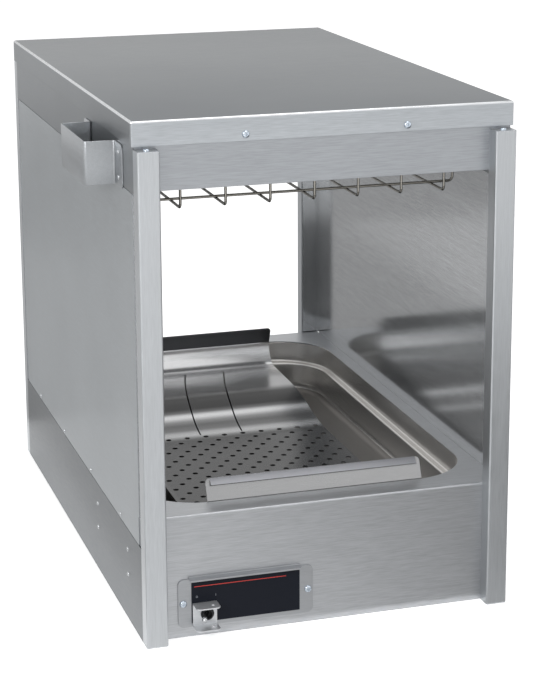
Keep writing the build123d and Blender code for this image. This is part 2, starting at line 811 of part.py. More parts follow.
# Switch guard: a back plate between two ears with padlock holes
with BuildPart() as switch_guard:
    guard_points = [
        (label_face - guard_reach, guard_bottom),
        (label_face, guard_bottom),
        (label_face, guard_bottom + guard_height),
        (label_face - guard_reach, guard_bottom + guard_height),
    ]
    with BuildSketch(Plane.YZ.offset(guard_left)):
        make_face(strip(guard_points, guard_sheet, Side.LEFT))
    extrude(amount=guard_width)
    fillet(switch_guard.edges().filter_by(Axis.Z).group_by(Axis.Y)[0], guard_round)
    with BuildSketch(Plane.XZ.offset(-label_face)):
        with Locations((switch_x, switch_z)):
            RegularPolygon(bushing_radius + bushing_fit, round_sides)
    extrude(amount=guard_sheet, mode=Mode.SUBTRACT)
    with BuildSketch(Plane.XY.offset(guard_bottom)):
        with Locations((switch_x + guard_hole_shift, label_face - guard_hole_back)):
            Circle(guard_hole_radius)
    extrude(amount=guard_height, mode=Mode.SUBTRACT)
switch_guard.part.label = "switch_guard"
export_step(switch_guard.part, "parts/switch_guard.step")

# Toggle switch: case behind the apron and a bushing through the stack, with a wider bore ahead of the pivot
pivot_y = nut_face + pivot_radius + pivot_depth
with BuildPart() as switch_body:
    with BuildSketch(Plane.XZ.offset(inner_y)):
        with Locations((switch_x, switch_z)):
            Rectangle(switch_case_width, switch_case_height)
    extrude(amount=-switch_case_depth)
    with BuildSketch(Plane.XZ.offset(inner_y)):
        with Locations((switch_x, switch_z)):
            RegularPolygon(bushing_radius, round_sides)
    extrude(amount=-guard_face + bushing_reach - inner_y)
    pivot_bore = pivot_radius + pivot_clearance
    with BuildSketch(Plane.XZ.offset(-pivot_y - pivot_bore)):
        with Locations((switch_x, switch_z)):
            RegularPolygon(pivot_bore, round_sides)
    extrude(amount=pivot_bore, mode=Mode.SUBTRACT)
    with BuildSketch(Plane.XZ.offset(-pivot_y)):
        with Locations((switch_x, switch_z)):
            RegularPolygon(bushing_radius - bushing_wall, round_sides)
    extrude(amount=pivot_y - guard_face + bushing_reach, mode=Mode.SUBTRACT)
switch_body.part.label = "switch_body"
export_step(switch_body.part, "parts/switch_body.step")

# Round dress nut that clamps the guard, label and plate
with BuildPart() as switch_nut:
    with BuildSketch(Plane.XZ.offset(-guard_face)):
        with Locations((switch_x, switch_z)):
            RegularPolygon(nut_radius, round_sides)
            RegularPolygon(bushing_radius + hole_fit, round_sides, mode=Mode.SUBTRACT)
    extrude(amount=nut_height)
switch_nut.part.label = "switch_nut"
export_step(switch_nut.part, "parts/switch_nut.step")

# Lever at rest to the left: a bat that thickens to its tip, on a faceted ball that turns in the bushing
lever_parts = [
    (-pivot_half, pivot_half, (pivot_radius**2 - pivot_half**2) ** 0.5),
    (0, lever_length, lever_root),
    (lever_step, lever_length, lever_middle),
    (lever_length - lever_tip, lever_length + lever_tip, lever_tip),
]
with BuildPart() as toggle_lever:
    for low, high, radius in lever_parts:
        with BuildSketch(Plane.XZ.offset(low)):
            RegularPolygon(radius, lever_sides)
        extrude(amount=high - low)
    tip_faces = toggle_lever.faces().filter_by(Axis.Y).sort_by(Axis.Y)
    chamfer(tip_faces[0].edges(), lever_tip / 3)
toggle_shape = toggle_lever.part.rotate(Axis.Z, -lever_throw).translate((switch_x, pivot_y, switch_z))
toggle_shape.label = "toggle_lever"
export_step(toggle_shape, "parts/toggle_lever.step")


# Screws of the control plate and of the lid's skirts
plate_screws = heads(
    Plane.XZ.offset(-plate_face),
    [
        (plate_left + plate_screw_inset, plate_bottom + plate_height / 2),
        (plate_left + plate_width - plate_screw_inset, plate_bottom + plate_height / 2),
    ],
    screw_head,
    screw_head_height,
)
plate_screws.label = "plate_screws"
export_step(plate_screws, "parts/plate_screws.step")

lid_screw_places = [(sx * (half_width - lid_screw_inset), lid_bottom + lid_screw_rise) for sx in (-1, 1)]
front_lid_screws = heads(Plane.XZ.offset(lid_y), lid_screw_places, screw_head, screw_head_height)
with BuildPart() as lid_screws:
    add(front_lid_screws)
    add(front_lid_screws.mirror(Plane.XZ))
lid_screws.part.label = "lid_screws"
export_step(lid_screws.part, "parts/lid_screws.step")

# Rivets on the sides
for name, places, face, left in (
    ("seam_rivets_left", seam_rivets(), half_width, True),
    ("seam_rivets_right", seam_rivets(), half_width, False),
    ("bracket_rivets", bracket_rivets(), half_width, True),
    ("holder_rivets", holder_rivets(), half_width + holder_sheet, True),
):
    piece = heads(Plane.YZ.offset(face), places, rivet_head, rivet_head_height)
    if left:
        piece = piece.mirror(Plane.YZ)
    piece.label = name
    export_step(piece, "parts/" + name + ".step")

# Scoop holder: a bracket of bent sheet, open at its top and bottom
with BuildPart() as scoop_holder:
    holder_rear = holder_front + holder_length
    holder_points = [
        (-half_width, holder_front - holder_flange),
        (-half_width, holder_front),
        (-half_width - holder_reach, holder_front),
        (-half_width - holder_reach, holder_rear),
        (-half_width, holder_rear),
        (-half_width, holder_rear + holder_flange),
    ]
    with BuildSketch(Plane.XY.offset(holder_bottom)):
        with BuildLine():
            Polyline(*holder_points)
            offset(amount=holder_sheet, side=Side.LEFT, kind=Kind.INTERSECTION)
        make_face()
    extrude(amount=holder_height)
    flange_ends = scoop_holder.edges().filter_by(Axis.X)
    fillet(flange_ends.group_by(Axis.Y)[0] + flange_ends.group_by(Axis.Y)[-1], holder_corner)
scoop_holder.part.label = "scoop_holder"
export_step(scoop_holder.part, "parts/scoop_holder.step")

# Base heater: a flat heated plate against the underside of the pan
with BuildPart() as base_heater:
    with BuildSketch(Plane.XY.offset(pan_under - heater_height)):
        RectangleRounded(opening_width - 2 * heater_side, opening_length - 2 * heater_end, heater_corner)
    extrude(amount=heater_height)
base_heater.part.label = "base_heater"
export_step(base_heater.part, "parts/base_heater.step")

# Thermostat: a round can under the heater, with its mounting ears
with BuildPart() as thermostat:
    with BuildSketch(Plane.XY.offset(pan_under - heater_height - thermostat_ear)):
        Rectangle(4 * thermostat_radius, thermostat_radius)
    extrude(amount=thermostat_ear)
    with BuildSketch(Plane.XY.offset(pan_under - heater_height - thermostat_height)):
        RegularPolygon(thermostat_radius, thermostat_sides)
    extrude(amount=thermostat_height)
thermostat.part.label = "thermostat"
export_step(thermostat.part, "parts/thermostat.step")

# Component bracket inside the left base side, with a shelf for the terminal block
with BuildPart() as component_bracket:
    with BuildSketch(Plane.XZ.offset(-bracket_front)):
        with Locations((-inner_x, bracket_bottom)):
            Rectangle(bracket_sheet, bracket_height, align=(Align.MIN, Align.MIN))
            Rectangle(bracket_shelf, bracket_sheet, align=(Align.MIN, Align.MIN))
    extrude(amount=-bracket_length)
component_bracket.part.label = "component_bracket"
export_step(component_bracket.part, "parts/component_bracket.step")

# Terminal block on the bracket's shelf, with a row of wire ports
with BuildPart() as terminal_block:
    block_x = -inner_x + bracket_shelf / 2 + bracket_sheet
    block_y = bracket_front + bracket_length / 2
    block_z = bracket_bottom + bracket_sheet
    with BuildSketch(Plane.XY.offset(block_z)):
        with Locations((block_x, block_y)):
            Rectangle(block_width, block_length)
    extrude(amount=block_height)
    with BuildSketch(Plane.XY.offset(block_z + block_height / 2)):
        with Locations((block_x, block_y)):
            with GridLocations(block_width, block_length / block_poles, 2, block_poles):
                Rectangle(block_width / 2, block_length / block_poles / 2)
    extrude(amount=block_height / 2, mode=Mode.SUBTRACT)
terminal_block.part.label = "terminal_block"
export_step(terminal_block.part, "parts/terminal_block.step")

# Cord inlet bushing in the rear apron: eight-sided head outside, neck through the sheet, lip inside
with BuildPart() as cord_inlet:
    with BuildSketch(Plane.XZ.offset(-face_y - inlet_head_length)):
        with Locations((inlet_x, inlet_z)):
            RegularPolygon(inlet_head, inlet_sides)
    extrude(amount=inlet_head_length)
    chamfer(cord_inlet.faces().sort_by(Axis.Y)[-1].edges(), inlet_bevel)
    with BuildSketch(Plane.XZ.offset(-face_y)):
        with Locations((inlet_x, inlet_z)):
            RegularPolygon(inlet_neck, inlet_sides)
    extrude(amount=sheet)
    with BuildSketch(Plane.XZ.offset(-inner_y)):
        with Locations((inlet_x, inlet_z)):
            RegularPolygon(inlet_neck + inlet_lip, inlet_sides)
    extrude(amount=inlet_tail)
    with BuildSketch(Plane.XZ.offset(-face_y - inlet_head_length)):
        with Locations((inlet_x, inlet_z)):
            Circle(inlet_bore)
    extrude(amount=inlet_head_length + sheet + inlet_tail, mode=Mode.SUBTRACT)
cord_inlet.part.label = "cord_inlet"
export_step(cord_inlet.part, "parts/cord_inlet.step")
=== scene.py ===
import math
import bmesh
import bpy
from mathutils import Matrix, Vector


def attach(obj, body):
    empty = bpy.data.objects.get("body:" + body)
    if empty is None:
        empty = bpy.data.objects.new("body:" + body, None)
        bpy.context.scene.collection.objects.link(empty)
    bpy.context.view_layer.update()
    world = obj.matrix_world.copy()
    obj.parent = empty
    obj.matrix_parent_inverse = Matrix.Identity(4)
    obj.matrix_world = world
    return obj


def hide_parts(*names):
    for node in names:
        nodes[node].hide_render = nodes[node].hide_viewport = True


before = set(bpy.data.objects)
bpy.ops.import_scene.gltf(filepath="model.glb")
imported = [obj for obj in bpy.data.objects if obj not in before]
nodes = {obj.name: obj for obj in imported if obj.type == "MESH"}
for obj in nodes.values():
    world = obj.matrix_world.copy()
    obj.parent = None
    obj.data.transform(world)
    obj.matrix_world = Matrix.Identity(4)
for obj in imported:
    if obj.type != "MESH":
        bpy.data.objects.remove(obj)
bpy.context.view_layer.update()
mm = 0.001
print("frame loaded:", len(nodes), "nodes")


# sRGB hex to the linear colour that a shader takes
def hexColor(text):
    parts = [int(text[i:i + 2], 16) / 255 for i in (1, 3, 5)]
    return [c / 12.92 if c <= 0.04045 else ((c + 0.055) / 1.055) ** 2.4 for c in parts] + [1.0]


def addNode(tree, kind, settings=None, links=None):
    node = tree.nodes.new(kind)
    for key, value in (settings or {}).items():
        if isinstance(key, str) and hasattr(node, key):
            setattr(node, key, value)
        else:
            node.inputs[key].default_value = value
    for socket, source in (links or {}).items():
        tree.links.new(source, node.inputs[socket])
    return node


def newMaterial(name):
    material = bpy.data.materials.new(name)
    material.use_nodes = True
    material.node_tree.nodes.clear()
    return material, material.node_tree


# How the fine grain and the wide streaks of a ground sheet are mixed, the range that the mix covers and its relief
grain = {"wideScale": 0.22, "wideShare": 0.3, "from": 0.45, "to": 0.85, "heightMm": 0.03}


# Stainless sheet with a belt-ground grain: fine lines along one axis break up the reflections, wide soft
# clouds stand for handling and uneven rolling, and sheet edges catch light on a small radius.
# The grain lines are wider than real ones, so that they still show in the render.
def brushedSheet(name, look):
    material, tree = newMaterial(name)
    place = addNode(tree, "ShaderNodeTexCoord")
    axis = look["grainAxis"]
    scale = [1000 / look["grainWidthMm"]] * 3
    scale[axis] = 1000 / look["grainLengthMm"]
    fineMap = addNode(tree, "ShaderNodeMapping", {"Scale": scale}, {"Vector": place.outputs["Object"]})
    fine = addNode(
        tree, "ShaderNodeTexNoise", {"Scale": 1.0, "Detail": 2.0, "Roughness": 0.6}, {"Vector": fineMap.outputs[0]},
    )
    wideMap = addNode(
        tree, "ShaderNodeMapping", {"Scale": [c * grain["wideScale"] for c in scale]},
        {"Vector": place.outputs["Object"]},
    )
    wide = addNode(tree, "ShaderNodeTexNoise", {"Scale": 1.0, "Detail": 2.0}, {"Vector": wideMap.outputs[0]})
    both = addNode(
        tree, "ShaderNodeMath", {"operation": "MULTIPLY_ADD", 1: grain["wideShare"]},
        {0: wide.outputs["Fac"], 2: fine.outputs["Fac"]},
    )
    grainTone = addNode(
        tree, "ShaderNodeMapRange",
        {"From Min": grain["from"], "From Max": grain["to"],
         "To Min": 1 - look["grainDepth"], "To Max": 1 + look["grainDepth"]},
        {"Value": both.outputs[0]},
    )
    clouds = addNode(
        tree, "ShaderNodeTexNoise", {"Scale": look["cloudScale"], "Detail": 2.0}, {"Vector": place.outputs["Object"]},
    )
    sheet = addNode(
        tree, "ShaderNodeMix", {"data_type": "RGBA", 6: hexColor(look["darkHex"]), 7: hexColor(look["lightHex"])},
        {0: clouds.outputs["Fac"]},
    )
    rough = addNode(
        tree, "ShaderNodeMapRange",
        {"From Min": grain["from"], "From Max": grain["to"],
         "To Min": look["roughness"] - look["roughSpread"], "To Max": look["roughness"] + look["roughSpread"]},
        {"Value": both.outputs[0]},
    )
    if "innerHex" in look:  # the face inside the cabinet is polished, the one outside is brushed
        split = addNode(tree, "ShaderNodeSeparateXYZ", None, {0: place.outputs["Object"]})
        sideways = addNode(tree, "ShaderNodeMath", {"operation": "ABSOLUTE"}, {0: split.outputs[0]})
        outside = addNode(
            tree, "ShaderNodeMath", {"operation": "GREATER_THAN", 1: look["outerFromMm"] * mm},
            {0: sideways.outputs[0]},
        )
        sheet = addNode(
            tree, "ShaderNodeMix", {"data_type": "RGBA", 6: hexColor(look["innerHex"])},
            {0: outside.outputs[0], 7: sheet.outputs[2]},
        )
        polish = addNode(
            tree, "ShaderNodeMapRange", {"To Min": look["innerRoughness"] / look["roughness"], "To Max": 1.0},
            {"Value": outside.outputs[0]},
        )
        rough = addNode(
            tree, "ShaderNodeMath", {"operation": "MULTIPLY"}, {0: rough.outputs[0], 1: polish.outputs[0]},
        )
    metallic = None
    # Painted reflections: a ramp of grey levels along the depth darkens the sheet's colour band by band
    if "bands" in look:  # lighter and darker bands, by their place along the depth
        split = addNode(tree, "ShaderNodeSeparateXYZ", None, {0: place.outputs["Object"]})
        low, high = look["bandRangeMm"]
        along = addNode(
            tree, "ShaderNodeMapRange", {"From Min": low * mm, "From Max": high * mm}, {"Value": split.outputs[1]},
        )
        ramp = addNode(tree, "ShaderNodeValToRGB", None, {0: along.outputs[0]})
        ramp.color_ramp.elements.remove(ramp.color_ramp.elements[1])
        for i, (where, level) in enumerate(look["bands"]):
            spot = (where - low) / (high - low)
            element = ramp.color_ramp.elements[0] if i == 0 else ramp.color_ramp.elements.new(spot)
            element.position = spot
            element.color = (level, level, level, 1)
        sheet = addNode(
            tree, "ShaderNodeMix", {"data_type": "RGBA", "blend_type": "MULTIPLY", 0: 1.0},
            {6: sheet.outputs[2], 7: ramp.outputs[0]},
        )
        metallic = addNode(  # the lightest bands are a little more metallic
            tree, "ShaderNodeMapRange",
            {"From Min": look["bandMetalFrom"], "From Max": 1.0,
             "To Min": look["metallic"], "To Max": look["bandMetallic"]},
            {"Value": ramp.outputs[0]},
        )
    shade = addNode(
        tree, "ShaderNodeMix", {"data_type": "RGBA", "blend_type": "MULTIPLY", 0: 1.0},
        {6: sheet.outputs[2], 7: grainTone.outputs[0]},
    )
    edge = addNode(tree, "ShaderNodeBevel", {"samples": 4, "Radius": look["edgeMm"] * mm})
    bump = addNode(
        tree, "ShaderNodeBump", {"Strength": look["bump"], "Distance": grain["heightMm"] * mm},
        {"Height": both.outputs[0], "Normal": edge.outputs[0]},
    )
    tangent = addNode(tree, "ShaderNodeCombineXYZ", {axis: 1.0})
    shader = addNode(
        tree, "ShaderNodeBsdfPrincipled",
        {"Metallic": look["metallic"], "Anisotropic": look["anisotropy"]},
        {"Base Color": shade.outputs[2], "Roughness": rough.outputs[0], "Normal": bump.outputs[0],
         "Tangent": tangent.outputs[0]},
    )
    if metallic:
        tree.links.new(metallic.outputs[0], shader.inputs["Metallic"])
    addNode(tree, "ShaderNodeOutputMaterial", links={"Surface": shader.outputs[0]})
    return material


# Small parts: a fine speckle changes tone and roughness a little, and edges are softened
def plainFinish(name, look):
    look = {**smallLook, **look}
    material, tree = newMaterial(name)
    place = addNode(tree, "ShaderNodeTexCoord")
    speckle = addNode(
        tree, "ShaderNodeTexNoise", {"Scale": 1000 / look["grainMm"], "Detail": 3.0},
        {"Vector": place.outputs["Object"]},
    )
    tone = addNode(
        tree, "ShaderNodeMix", {"data_type": "RGBA", 6: hexColor(look["darkHex"]), 7: hexColor(look["lightHex"])},
        {0: speckle.outputs["Fac"]},
    )
    rough = addNode(
        tree, "ShaderNodeMapRange",
        {"To Min": look["roughness"] - look["roughSpread"], "To Max": look["roughness"] + look["roughSpread"]},
        {"Value": speckle.outputs["Fac"]},
    )
    edge = addNode(tree, "ShaderNodeBevel", {"samples": 4, "Radius": look["edgeMm"] * mm})
    bump = addNode(
        tree, "ShaderNodeBump", {"Strength": look["bump"], "Distance": look["bumpMm"] * mm},
        {"Height": speckle.outputs["Fac"], "Normal": edge.outputs[0]},
    )
    shader = addNode(
        tree, "ShaderNodeBsdfPrincipled",
        {"Metallic": look["metallic"], "Specular IOR Level": look["specular"]},
        {"Base Color": tone.outputs[2], "Roughness": rough.outputs[0], "Normal": bump.outputs[0]},
    )
    addNode(tree, "ShaderNodeOutputMaterial", links={"Surface": shader.outputs[0]})
    return material


sheetLook = {
    "grainAxis": 0, "grainWidthMm": 0.8, "grainLengthMm": 20.0, "grainDepth": 0.11, "cloudScale": 6.0,
    "metallic": 0.9, "roughness": 0.36, "roughSpread": 0.05, "bump": 0.06, "anisotropy": 0.4, "edgeMm": 0.7,
}
# Austenitic stainless, belt ground across the front: soft wide highlights that stretch up and down
deckSteel = brushedSheet(
    "stainlessBrushedFront", {**sheetLook, "darkHex": "#aeb0b3", "lightHex": "#b8babd", "edgeMm": 1.2},
)
headerSteel = brushedSheet("stainlessBrushedHeader", {**sheetLook, "darkHex": "#9b9ea2", "lightHex": "#a5a8ac"})
# Control plate: a finer grain, so that it stands off from the apron as a flat grey
plateSteel = brushedSheet(
    "stainlessBrushedPlate",
    {**sheetLook, "darkHex": "#a0a2a5", "lightHex": "#aaacaf", "grainDepth": 0.06, "edgeMm": 0.5},
)
# Switch guard: pressed from thin bright sheet, lighter than the plate behind it
guardSteel = brushedSheet(
    "stainlessPressedGuard",
    {**sheetLook, "darkHex": "#cfd1d4", "lightHex": "#dcdee0", "metallic": 0.7, "grainDepth": 0.06, "edgeMm": 0.5},
)
# Lid: a darker top with more grain, and lighter skirts: painted shade on the top and painted light on the skirts. A
# brighter steel on its bends is a painted highlight along their edge
lidSteel = brushedSheet(
    "stainlessBrushedLid",
    {**sheetLook, "darkHex": "#6a6e72", "lightHex": "#777b7e", "grainDepth": 0.17, "bump": 0.1},
)
lidEdgeHighlight = brushedSheet(
    "stainlessEdgePaintedHighlight", {**sheetLook, "darkHex": "#d2d4d6", "lightHex": "#e0e2e4", "roughness": 0.3},
)
skirtSteel = brushedSheet("stainlessBrushedSkirt", {**sheetLook, "darkHex": "#a9adb1", "lightHex": "#b7bbbf"})
# Side sheets: the grain runs along the depth and the tone is greyer, darkest on the base
sideLook = {**sheetLook, "grainAxis": 1}
sideSteel = brushedSheet("stainlessBrushedSide", {**sideLook, "darkHex": "#84878a", "lightHex": "#909396"})
baseSteel = brushedSheet("stainlessBrushedBase", {**sideLook, "darkHex": "#6f7275", "lightHex": "#7b7e81"})
holderSteel = brushedSheet(
    "stainlessBrushedHolder", {**sideLook, "darkHex": "#9da0a3", "lightHex": "#a9acaf", "edgeMm": 0.4},
)
# Corner posts: ground along their length
postSteel = brushedSheet(
    "stainlessBrushedPost",
    {**sheetLook, "grainAxis": 2, "darkHex": "#b6b9bc", "lightHex": "#c0c3c6", "grainDepth": 0.06},
)
# Side panels: brushed like the base outside, left bright inside, where they mirror the lip and the pan
panelSteel = brushedSheet(
    "stainlessPanelBrightInside",
    {**sideLook, "darkHex": "#a0a4a7", "lightHex": "#aeb2b5", "innerHex": "#bcbec0", "outerFromMm": 199.4,
     "innerRoughness": 0.13, "bump": 0.04, "metallic": 0.75},
)
# Drawn pan: bright rolled stainless, smooth and a little warm in tone
panSteel = brushedSheet(
    "stainlessDrawnPan",
    {**sideLook, "darkHex": "#c8c6c3", "lightHex": "#d8d6d3", "roughness": 0.24, "roughSpread": 0.02,
     "bump": 0.01, "grainDepth": 0.015, "metallic": 0.75, "edgeMm": 0.4},
)
# Pan floor: duller and darker than the walls, so that the pan reads as deep. The dullness is its roughness; the
# darker colour is painted shade
panFloorSteel = brushedSheet(
    "stainlessDullFloorPaintedShade",
    {**sideLook, "darkHex": "#6b6966", "lightHex": "#787572", "roughness": 0.4, "bump": 0.03, "grainDepth": 0.05,
     "edgeMm": 0.4},
)
# Ribbon: bright rolled stainless. Its lighter and darker bands stand for what a real ramp mirrors. They were set
# following the tones read down the photo's ramp. Each band is a place along the depth in millimetres and the
# share of the sheet's tone there
# The dark floor and the lighter and darker bands up the ramp are painted reflections
ribbonSteel = brushedSheet(
    "stainlessRibbonPaintedReflections",
    {**sheetLook, "darkHex": "#e6e7e8", "lightHex": "#f2f2f3", "roughness": 0.22, "bump": 0.02, "grainDepth": 0.03,
     "metallic": 0.8, "edgeMm": 0.3, "bandRangeMm": (-300.0, 300.0), "bandMetalFrom": 0.6, "bandMetallic": 0.85,
     "bands": [
         (-300, 0.46), (-276, 0.46), (-266, 0.06), (50, 0.06), (57, 0.26), (64, 0.62), (71, 0.55), (79, 0.2),
         (92, 0.13), (102, 0.3), (111, 0.8), (115, 0.76), (122, 0.16), (130, 0.02), (146, 0.02), (154, 0.03),
         (162, 0.03), (170, 0.22), (178, 0.5), (186, 0.58), (212, 0.62), (228, 0.56), (238, 0.66), (250, 1.0),
         (300, 1.0)]},
)
# Lips of the ribbon: both duller than the ramp, the front hem a mid grey and the rear lip dark. The dullness is their
# roughness; the mid grey and the dark are painted shade
lipLook = {**sheetLook, "roughness": 0.42, "grainDepth": 0.05, "edgeMm": 0.3}
lipSteel = brushedSheet("stainlessDullLipPaintedShade", {**lipLook, "darkHex": "#85868a", "lightHex": "#909195"})
rearLipSteel = brushedSheet("stainlessDarkLipPaintedShade", {**lipLook, "darkHex": "#47484a", "lightHex": "#505153"})

# What small parts share, where their own finish doesn't say otherwise
smallLook = {
    "roughSpread": 0.05, "specular": 0.5, "metallic": 1.0, "bump": 0.1, "bumpMm": 0.02, "grainMm": 1.2,
    "edgeMm": 0.15,
}
# Zinc-plated steel: cool, bright and slightly clouded
screwSteel = plainFinish(
    "zincPlatedScrew", {"darkHex": "#aeb8c4", "lightHex": "#d4dde6", "roughness": 0.22, "roughSpread": 0.06},
)
# Plain steel rivets: like the sheet, only shinier
rivetSteel = plainFinish("plainSteelRivet", {"darkHex": "#b4b7b9", "lightHex": "#cccfd1", "roughness": 0.24})
# Drawn wire, nickel plated: a warm grey with bright lines along its top
wireSteel = plainFinish(
    "nickelPlatedWire",
    {"darkHex": "#7e7b75", "lightHex": "#97948e", "roughness": 0.2, "bump": 0.05, "grainMm": 1.0, "edgeMm": 0.1},
)
# Specular aluminium sheet: pale and soft, it throws the light down
reflectorAluminium = plainFinish(
    "aluminiumSpecularSheet",
    {"darkHex": "#eeefef", "lightHex": "#f6f6f6", "roughness": 0.4, "bump": 0.04, "bumpMm": 0.05, "grainMm": 6.0,
     "edgeMm": 0.4, "metallic": 0.3},
)
# Nickel alloy sheath of a tubular element: oxidised dull and dark
elementSheath = plainFinish(
    "nickelAlloySheathOxidised",
    {"darkHex": "#3a3632", "lightHex": "#55504a", "roughness": 0.5, "roughSpread": 0.1, "bump": 0.2, "bumpMm": 0.05,
     "grainMm": 1.5, "edgeMm": 0.2},
)
# Pressed steatite: matt and chalky
ceramic = plainFinish(
    "steatitePressedCeramic",
    {"darkHex": "#d8d2c4", "lightHex": "#e6e1d4", "roughness": 0.6, "roughSpread": 0.08, "bump": 0.2, "bumpMm": 0.05,
     "grainMm": 0.8, "edgeMm": 0.4, "metallic": 0.0},
)
# Moulded phenolic and nylon: a soft dark sheen
blackPlastic = plainFinish(
    "phenolicMouldedBlack",
    {"darkHex": "#17181a", "lightHex": "#202124", "roughness": 0.42, "roughSpread": 0.06, "bumpMm": 0.03,
     "grainMm": 0.6, "edgeMm": 0.4, "metallic": 0.0},
)
# Screen-printed polyester film: near-black blue with a fine velvet texture
labelFilm = plainFinish(
    "polyesterPrintedFilm",
    {"darkHex": "#11141d", "lightHex": "#171b25", "specular": 0.15, "roughness": 0.5, "bumpMm": 0.01, "grainMm": 0.6,
     "edgeMm": 0.1, "metallic": 0.0},
)
# Screen ink on the film: flat and slightly raised
inkLook = {"roughness": 0.45, "bumpMm": 0.01, "grainMm": 0.5, "edgeMm": 0.05, "metallic": 0.0}
redInk = plainFinish("screenInkRed", {**inkLook, "darkHex": "#c22f28", "lightHex": "#d43a31"})
greyInk = plainFinish("screenInkGrey", {**inkLook, "darkHex": "#8a8e96", "lightHex": "#a0a4ac"})
# Black chromium over brass: dark, glossy, with sharp lights
blackChrome = plainFinish(
    "blackChromiumOnBrass",
    {"darkHex": "#26272a", "lightHex": "#3a3c40", "roughness": 0.16, "roughSpread": 0.04, "bump": 0.05,
     "bumpMm": 0.01, "grainMm": 1.0},
)
# Chromium plate on brass: bright, with clear reflections
chromePlate = plainFinish(
    "chromiumPlatedBrass",
    {"darkHex": "#b2b4b6", "lightHex": "#c8cacc", "roughness": 0.12, "roughSpread": 0.03, "bump": 0.03,
     "bumpMm": 0.01, "grainMm": 2.0, "edgeMm": 0.2},
)
print("materials made:", len(bpy.data.materials))

cadMaterials = (
    (headerSteel, ("hood_front_header", "hood_rear_header")),
    (deckSteel, ("deck_shell",)),
    (lidSteel, ("top_lid",)),
    (sideSteel, ("hood_side_left", "hood_side_right", "bottom_plate", "guard_clips", "component_bracket",
                 "scoop_holder")),
    (baseSteel, ("base_side_left", "base_side_right")),
    (panelSteel, ("side_panel_left", "side_panel_right")),
    (postSteel, ("post_front_left", "post_front_right", "post_rear_left", "post_rear_right")),
    (panSteel, ("food_pan",)),
    (ribbonSteel, ("fry_ribbon",)),
    (wireSteel, ("wire_guard",)),
    (reflectorAluminium, ("reflector", "base_heater")),
    (elementSheath, ("heating_element_left", "heating_element_right")),
    (ceramic, ("element_insulators", "terminal_block")),
    (plateSteel, ("control_plate",)),
    (labelFilm, ("control_label",)),
    (guardSteel, ("switch_guard",)),
    (blackPlastic, ("switch_body", "thermostat", "cord_inlet")),
    (blackChrome, ("switch_nut", "toggle_lever")),
    (screwSteel, ("post_screws", "plate_screws", "lid_screws")),
    (rivetSteel, ("seam_rivets_left", "seam_rivets_right", "bracket_rivets", "holder_rivets")),
)
for material, names in cadMaterials:
    for name in names:
        slots = nodes[name].data.materials
        if len(slots) == 0:
            slots.append(material)
        for i in range(len(slots)):
            slots[i] = material
print("materials on the frame")


# Makes an object of a bmesh that is in millimetres
def makePiece(name, mesh, material):
    bmesh.ops.scale(mesh, vec=(mm, mm, mm), verts=mesh.verts)
    bmesh.ops.remove_doubles(mesh, verts=mesh.verts, dist=0.000002)
    bmesh.ops.recalc_face_normals(mesh, faces=mesh.faces)
    data = bpy.data.meshes.new(name)
    mesh.to_mesh(data)
    mesh.free()
    data.materials.append(material)
    piece = bpy.data.objects.new(name, data)
    bpy.context.scene.collection.objects.link(piece)
    return piece


def softenShading(piece, degrees=35):
    piece.data.shade_smooth()
    piece.data.set_sharp_from_angle(angle=math.radians(degrees))


# Applies a piece's modifiers, so that its mesh is final
def settle(piece):
    graph = bpy.context.evaluated_depsgraph_get()
    final = bpy.data.meshes.new_from_object(piece.evaluated_get(graph))
    piece.modifiers.clear()
    piece.data = final
    softenShading(piece)


def thicken(piece, wall, place):
    solid = piece.modifiers.new("wall", "SOLIDIFY")
    solid.thickness = wall * mm
    solid.offset = place
    solid.use_even_offset = True


def roundEdges(piece, width, segments, degrees):
    edges = piece.modifiers.new("edges", "BEVEL")
    edges.width = width * mm
    edges.segments = segments
    edges.limit_method = "ANGLE"
    edges.angle_limit = math.radians(degrees)


def cutAway(piece, cutter):
    cut = piece.modifiers.new("cut", "BOOLEAN")
    cut.object = cutter
    cut.operation = "DIFFERENCE"
    cut.solver = "EXACT"


# Gives a piece more materials, and each face the one whose number pick returns
def paintFaces(piece, materials, pick):
    for material in materials:
        piece.data.materials.append(material)
    for face in piece.data.polygons:
        face.material_index = pick(face)


# A cube grown to a size, with its middle at a place
def addBlock(mesh, size, place):
    verts = bmesh.ops.create_cube(mesh, size=1)["verts"]
    bmesh.ops.scale(mesh, vec=size, verts=verts)
    bmesh.ops.translate(mesh, vec=place, verts=verts)


# A chain of edges through points, with the corners bent on the given radii
def bentLine(mesh, points, radii, segments=6):
    verts = [mesh.verts.new(point) for point in points]
    for a, b in zip(verts, verts[1:]):
        mesh.edges.new((a, b))
    for i, radius in enumerate(radii):
        before = (verts[i + 1].co - verts[i].co).normalized()
        after = (Vector(points[i + 2]) - Vector(points[i + 1])).normalized()
        reach = radius * math.tan(before.angle(after) / 2)
        bend = bmesh.ops.bevel(
            mesh, geom=[verts[i + 1]], offset=reach, segments=segments, profile=0.5, affect="VERTICES", material=-1,
        )
        verts[i + 1] = min(bend["verts"], key=lambda v: (v.co - Vector(points[i + 2])).length)


# A sheet: the chain swept along a step
def sweepChain(mesh, step):
    swept = bmesh.ops.extrude_edge_only(mesh, edges=mesh.edges[:])
    bmesh.ops.translate(mesh, vec=step, verts=[v for v in swept["geom"] if isinstance(v, bmesh.types.BMVert)])


# A closed rounded rectangle of edges at one height
def roundedLoop(mesh, halfX, halfY, radius, z, segments=10):
    verts = [mesh.verts.new((sx * halfX, sy * halfY, z)) for sx, sy in ((-1, -1), (1, -1), (1, 1), (-1, 1))]
    known = set(mesh.edges)
    for i in range(4):
        mesh.edges.new((verts[i], verts[(i + 1) % 4]))
    bmesh.ops.bevel(mesh, geom=verts, offset=radius, segments=segments, profile=0.5, affect="VERTICES", material=-1)
    return [e for e in mesh.edges if e not in known]


